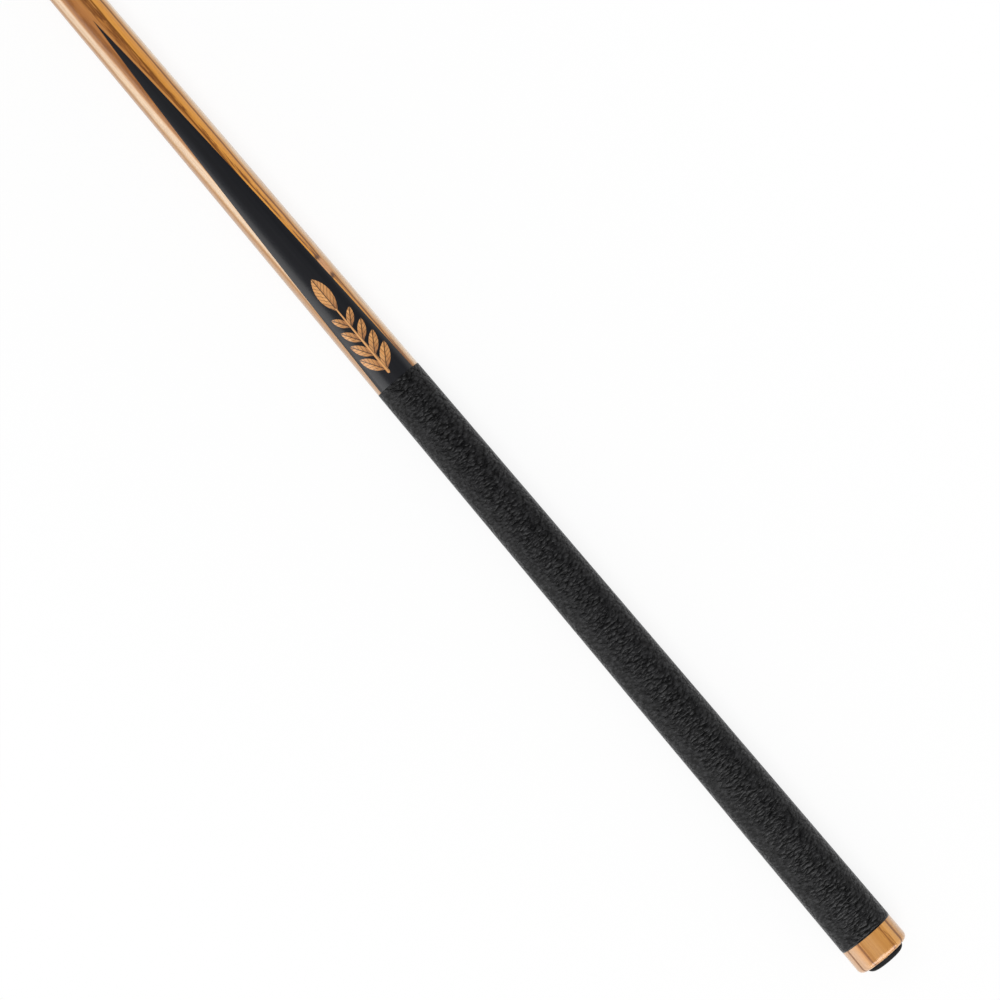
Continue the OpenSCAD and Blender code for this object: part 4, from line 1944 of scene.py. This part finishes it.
@dataclass
class ShaftAssembly:
    """The shaft with its collar, ring, brass insert, ferrule, pad and leather tip.

    Attributes:
        outline: the cue's outside.
        joint: the butt's half of the joint, whose thread the insert takes.
        tenon_r: radius of the shaft's rear tenon.
        glue: room for the glue round a glued piece.
        play: room round a piece that turns or is screwed.
        ferrule_tenon_r: radius of the tenon in the ferrule.
        ferrule_cap: thickness of the ferrule's closed end.
        ferrule_eases: how far the ferrule's rear and front edges are eased.
        crown_r: radius of the tip's crown.
        tip_ease: how far the pad's edges and the tip's rear edge are eased.
        ease: how far the collar's and the ring's outer edges are eased.
    """

    outline: Outline
    joint: JointHardware
    tenon_r: float = 8.5 * MM
    glue: float = 0.03 * MM
    play: float = 0.05 * MM
    ferrule_tenon_r: float = 4.0 * MM
    ferrule_cap: float = 5.0 * MM
    ferrule_eases: tuple[float, float] = (0.1 * MM, 0.08 * MM)
    crown_r: float = 10.6 * MM
    tip_ease: float = 0.05 * MM
    ease: float = 0.15 * MM

    # Points along the insert's thread, the shaft's taper and the tip's crown.
    INSERT_ROWS = 120
    TAPER_ROWS = 200
    CROWN_ROWS = 24

    def build(self) -> None:
        """Adds every piece from the joint to the tip."""
        shaft_r = self.outline.shaft
        collar = band(*span("shaft_collar"), shaft_r, self.tenon_r + self.glue, self.ease)
        ring = band(*span("shaft_ring"), shaft_r, self.tenon_r + self.play, self.ease)
        tip_leather = TipLeather(self.crown_foot())
        for name, shape, body, finish, slot, node in (
            ("shaft_joint_collar", collar, Body.SHAFT, BLACK, "black_plastic", "shaft_collar"),
            ("shaft_joint_ring", ring, Body.RING, BRIGHT, "ring_metal", "shaft_ring"),
            ("brass_insert", self.insert(), Body.SHAFT, BRASS, "insert_brass", "joint_insert"),
            ("maple_shaft", self.wood(), Body.SHAFT, SHAFT_MAPLE, "shaft_maple", "shaft"),
            ("ferrule_sleeve", self.ferrule(), Body.SHAFT, IVORY, "ferrule_white", "ferrule"),
            ("fibre_pad", self.pad(), Body.SHAFT, FIBRE, "pad_fibre", "tip_pad"),
            ("leather_tip", self.tip(), Body.SHAFT, tip_leather, "tip_leather", "tip"),
        ):
            add_piece(name, shape, body, finish, slot, node)

    def insert(self) -> Shape:
        """A brass tube whose inner thread leaves the pin's thread a little play all over.

        The thread starts a pitch before the mouth, so it is at its full depth there.

        Returns:
            The insert.
        """
        start, stop = span("joint_insert")
        outer_r = float(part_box("joint_insert")[1].z)
        thread = self.joint.thread(start - self.joint.pitch, stop)
        x = np.linspace(start, stop, self.INSERT_ROWS)[:, None]
        mouth = self.joint.pin_r + 3 * self.play - (x - start)
        radius = np.maximum(thread.radius(x) + self.play, mouth)
        tail = [(stop, self.joint.pin_r + self.play), (stop, outer_r), (start, outer_r)]
        lead = np.array([[start, self.joint.pin_r + 4 * self.play]])
        return threaded(lead, x, radius, profile(tail), ring=True)

    def wood(self) -> Shape:
        """Maple: the insert's bore, a rear tenon, the taper, a straight stretch and a tip tenon.

        Returns:
            The shaft.
        """
        start, stop = span("shaft")
        wood_x, ferrule_x = span("shaft_ring")[1], span("ferrule")[0]
        bore_end = span("joint_insert")[1] + self.glue
        bore_r = float(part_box("joint_insert")[1].z) + self.glue
        taper = np.linspace(wood_x, ferrule_x, self.TAPER_ROWS)
        corners = [
            (bore_end, 0.0),
            (bore_end, bore_r),
            (start, bore_r),
            (start, self.tenon_r),
            (wood_x, self.tenon_r),
        ]
        corners += np.stack([taper, self.outline.shaft(taper)], axis=1).tolist()
        corners += [(ferrule_x, self.ferrule_tenon_r), (stop, self.ferrule_tenon_r), (stop, 0.0)]
        return turned(corners, step=6 * MM)

    def ferrule(self) -> Shape:
        """A capped sleeve with eased edges.

        Returns:
            The ferrule.
        """
        start, stop = span("ferrule")
        bore_r, outer_r = self.ferrule_tenon_r + self.glue, self.outline.tip_r
        rear_ease, front_ease = self.ferrule_eases
        cap_x = stop - self.ferrule_cap
        corners = [(cap_x, 0.0), (cap_x, bore_r), (start, bore_r)]
        corners += [(start, outer_r, rear_ease), (stop, outer_r, front_ease), (stop, 0.0)]
        return turned(corners)

    def pad(self) -> Shape:
        """A plain disc of the tip's radius with barely eased edges.

        Returns:
            The pad.
        """
        start, stop = span("tip_pad")
        edge, ease = self.outline.tip_r, self.tip_ease
        return turned([(start, 0.0), (start, edge, ease), (stop, edge, ease), (stop, 0.0)])

    def crown_foot(self) -> float:
        """Where the tip's crown meets its side."""
        end = span("tip")[1]
        return end - self.crown_r + math.sqrt(self.crown_r**2 - self.outline.tip_r**2)

    def tip(self) -> Shape:
        """A straight side and a crown that is part of a ball.

        Returns:
            The tip.
        """
        start, stop = span("tip")
        half = math.asin(self.outline.tip_r / self.crown_r)
        angle = np.linspace(half, 0, self.CROWN_ROWS)
        crown = np.stack([np.cos(angle), np.sin(angle)], axis=1) * self.crown_r
        crown = crown + (stop - self.crown_r, 0)
        corners = [(start, 0.0), (start, self.outline.tip_r, self.tip_ease)]
        return turned(corners + crown.tolist(), step=1 * MM)


# ---------------------------------------------------------------------------------- studio


@dataclass(frozen=True)
class Lamp:
    """An unseen soft rectangle of light.

    Attributes:
        name: its name.
        place: where its middle is.
        target: what it faces.
        size: its length, along the cue, and its width.
        power: its power in watts.
        lights: whether it lights a dull surface.
        mirrored: whether a shiny surface mirrors it.
    """

    name: str
    place: Spot
    target: Spot
    size: tuple[float, float]
    power: float
    lights: bool = True
    mirrored: bool = True

    def build(self) -> None:
        """Adds the lamp, turned towards its target."""
        light = bpy.data.lights.new(self.name, "AREA")
        light.shape = "RECTANGLE"
        light.size, light.size_y = self.size
        light.energy = self.power
        lamp = bpy.data.objects.new(self.name, light)
        back = (Vector(self.place) - Vector(self.target)).normalized()
        up = back.cross(Vector((1, 0, 0))).normalized()
        turn = Matrix((up.cross(back), up, back)).transposed()
        lamp.matrix_world = Matrix.Translation(self.place) @ turn.to_4x4()
        lamp.visible_camera = False
        lamp.visible_diffuse = self.lights
        lamp.visible_glossy = self.mirrored
        bpy.context.scene.collection.objects.link(lamp)


LAMPS = (
    Lamp("side_light", (0.4, 1.478, 0.612), (0.4, 0, 0), (3.4, 1.26), 27.5, lights=False),
    Lamp("end_light", (-1.25, 0, 0.6), (0, 0, 0), (1.2, 3.0), 75.0, lights=False),
    Lamp("top_light", (0.4, 0.1, 2.2), (0.4, 0, 0), (3.0, 1.6), 11.0, mirrored=False),
    Lamp("key_light", (-2.0, 0.4, 3.6), (0.5, 0, 0), (2.4, 2.4), 92.0),
)


@dataclass
class Studio:
    """A pale floor that the cue lies on, soft light, and the camera.

    Attributes:
        rear_contact: place and height at which the butt's rear edge rests.
        front_contact: place and height at which the tip rests.
        clear: how far the floor lies below the line between them.
        reach: how far the floor reaches, from and to along both axes.
        paint: the floor's colour.
        near_glow: how white the floor shows beside the cue, where its shadow falls.
        daylight: strength of the world's light on dull surfaces.
        ceiling: what a shiny surface mirrors overhead.
        aim: what the camera looks at.
        distance: how far off the camera stands.
        lean: how far it leans towards the cue's right side, in degrees.
        roll: how far it is rolled, in degrees.
        lens: its focal length in millimetres.
    """

    rear_contact: tuple[float, float] = (6 * MM, -15.7 * MM)
    front_contact: tuple[float, float] = (1467 * MM, -6.4 * MM)
    clear: float = 0.08 * MM
    reach: tuple[float, float] = (-4.0, 5.0)
    paint: Colour = (0.9, 0.9, 0.9)
    near_glow: float = 0.86
    daylight: float = 0.52
    ceiling: float = 0.15
    aim: Spot = (0.312, 0.0, 0.0)
    distance: float = 2.7
    lean: float = 5.0
    roll: float = 130.15
    lens: float = 187.6

    def build(self) -> None:
        """Adds the floor, the world, the lamps and the camera."""
        self.floor()
        self.world()
        for lamp in LAMPS:
            lamp.build()
        self.camera()

    def floor(self) -> None:
        """Adds a large pale plane that passes under both ends of the lying cue.

        It shows as white, and beside the cue a little of its own paint, which takes the shadow.
        """
        (x0, z0), (x1, z1) = self.rear_contact, self.front_contact
        low, high = self.reach
        x, y = np.array([low, high, high, low]), np.array([low, low, -low, -low])
        z = z0 + (z1 - z0) / (x1 - x0) * (x - x0) - self.clear
        mesh = bpy.data.meshes.new("studio_floor")
        mesh.from_pydata(np.stack([x, y, z], axis=1), [], [[0, 1, 2, 3]])
        plane = bpy.data.objects.new("studio_floor", mesh)
        bpy.context.scene.collection.objects.link(plane)
        sh = Shader("studio_floor")
        paint = sh.node("ShaderNodeBsdfDiffuse", None, {"Color": self.paint}).outputs[0]
        glow = sh.node("ShaderNodeEmission", None, {"Color": WHITE, "Strength": 1.0}).outputs[0]
        seen, mirrored = sh.sight()
        along, across, _ = sh.axes()
        away = abs(across).ramp(0.04, 0.3).greater(abs(along - (x0 + x1) / 2).ramp(0.8, 1.1))
        share = seen.greater(mirrored) * (away * (1 - self.near_glow) + self.near_glow)
        mix = sh.node("ShaderNodeMixShader", None, {0: share, 1: paint, 2: glow})
        sh.node("ShaderNodeOutputMaterial", None, {"Surface": mix.outputs[0]})
        sh.owner.cycles.emission_sampling = "NONE"
        mesh.materials.append(sh.owner)
        plane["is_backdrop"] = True

    def world(self) -> None:
        """Makes a world that is white for the eye, even as a light and dim overhead in a mirror."""
        world = bpy.data.worlds.new("studio_world")
        world.use_nodes = True
        bpy.context.scene.world = world
        world.cycles.sampling_method = "NONE"
        sh = Shader("studio_world", world)
        seen, mirrored = sh.sight()
        height = sh.axes()[2]
        image = mirrored * (height.ramp(0.35, 0.05) * (1 - self.ceiling) + self.ceiling)
        strength = seen.greater(image).greater((1 - mirrored) * self.daylight)
        light = sh.node("ShaderNodeBackground", None, {"Color": WHITE, "Strength": strength})
        sh.node("ShaderNodeOutputWorld", None, {"Surface": light.outputs[0]})

    def camera(self) -> None:
        """Adds a long lens that looks down on the cue, rolled so that the cue lies slantwise."""
        back = Vector((0, -math.sin(math.radians(self.lean)), math.cos(math.radians(self.lean))))
        along = Vector((1, 0, 0))
        aside = back.cross(along)
        roll = math.radians(self.roll)
        right = along * math.cos(roll) - aside * math.sin(roll)
        up = along * math.sin(roll) + aside * math.cos(roll)
        data = bpy.data.cameras.new("studio_camera")
        data.lens = self.lens
        camera = bpy.data.objects.new("studio_camera", data)
        place = Matrix.Translation(Vector(self.aim) + back * self.distance)
        camera.matrix_world = place @ Matrix((right, up, back)).transposed().to_4x4()
        bpy.context.scene.collection.objects.link(camera)
        bpy.context.scene.camera = camera
        bpy.context.scene.view_settings.view_transform = "Standard"


def main() -> None:
    """Builds the cue from its bumper to its tip, then the studio, and works out both boxes."""
    logging.basicConfig(level=logging.INFO, format="%(name)s: %(message)s")
    outline = Outline.from_solids()
    joint = JointHardware(outline)
    for part in (
        Bumper(),
        Handle(outline),
        Forearm(outline),
        joint,
        ShaftAssembly(outline, joint),
        Studio(),
    ):
        log.info("building the %s", type(part).__name__)
        part.build()
    boxes = {
        name: [list(corner) for corner in box]
        for name, box in (("cad", cad_box), ("visual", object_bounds()))
    }


if __name__ == "__main__":
    main()
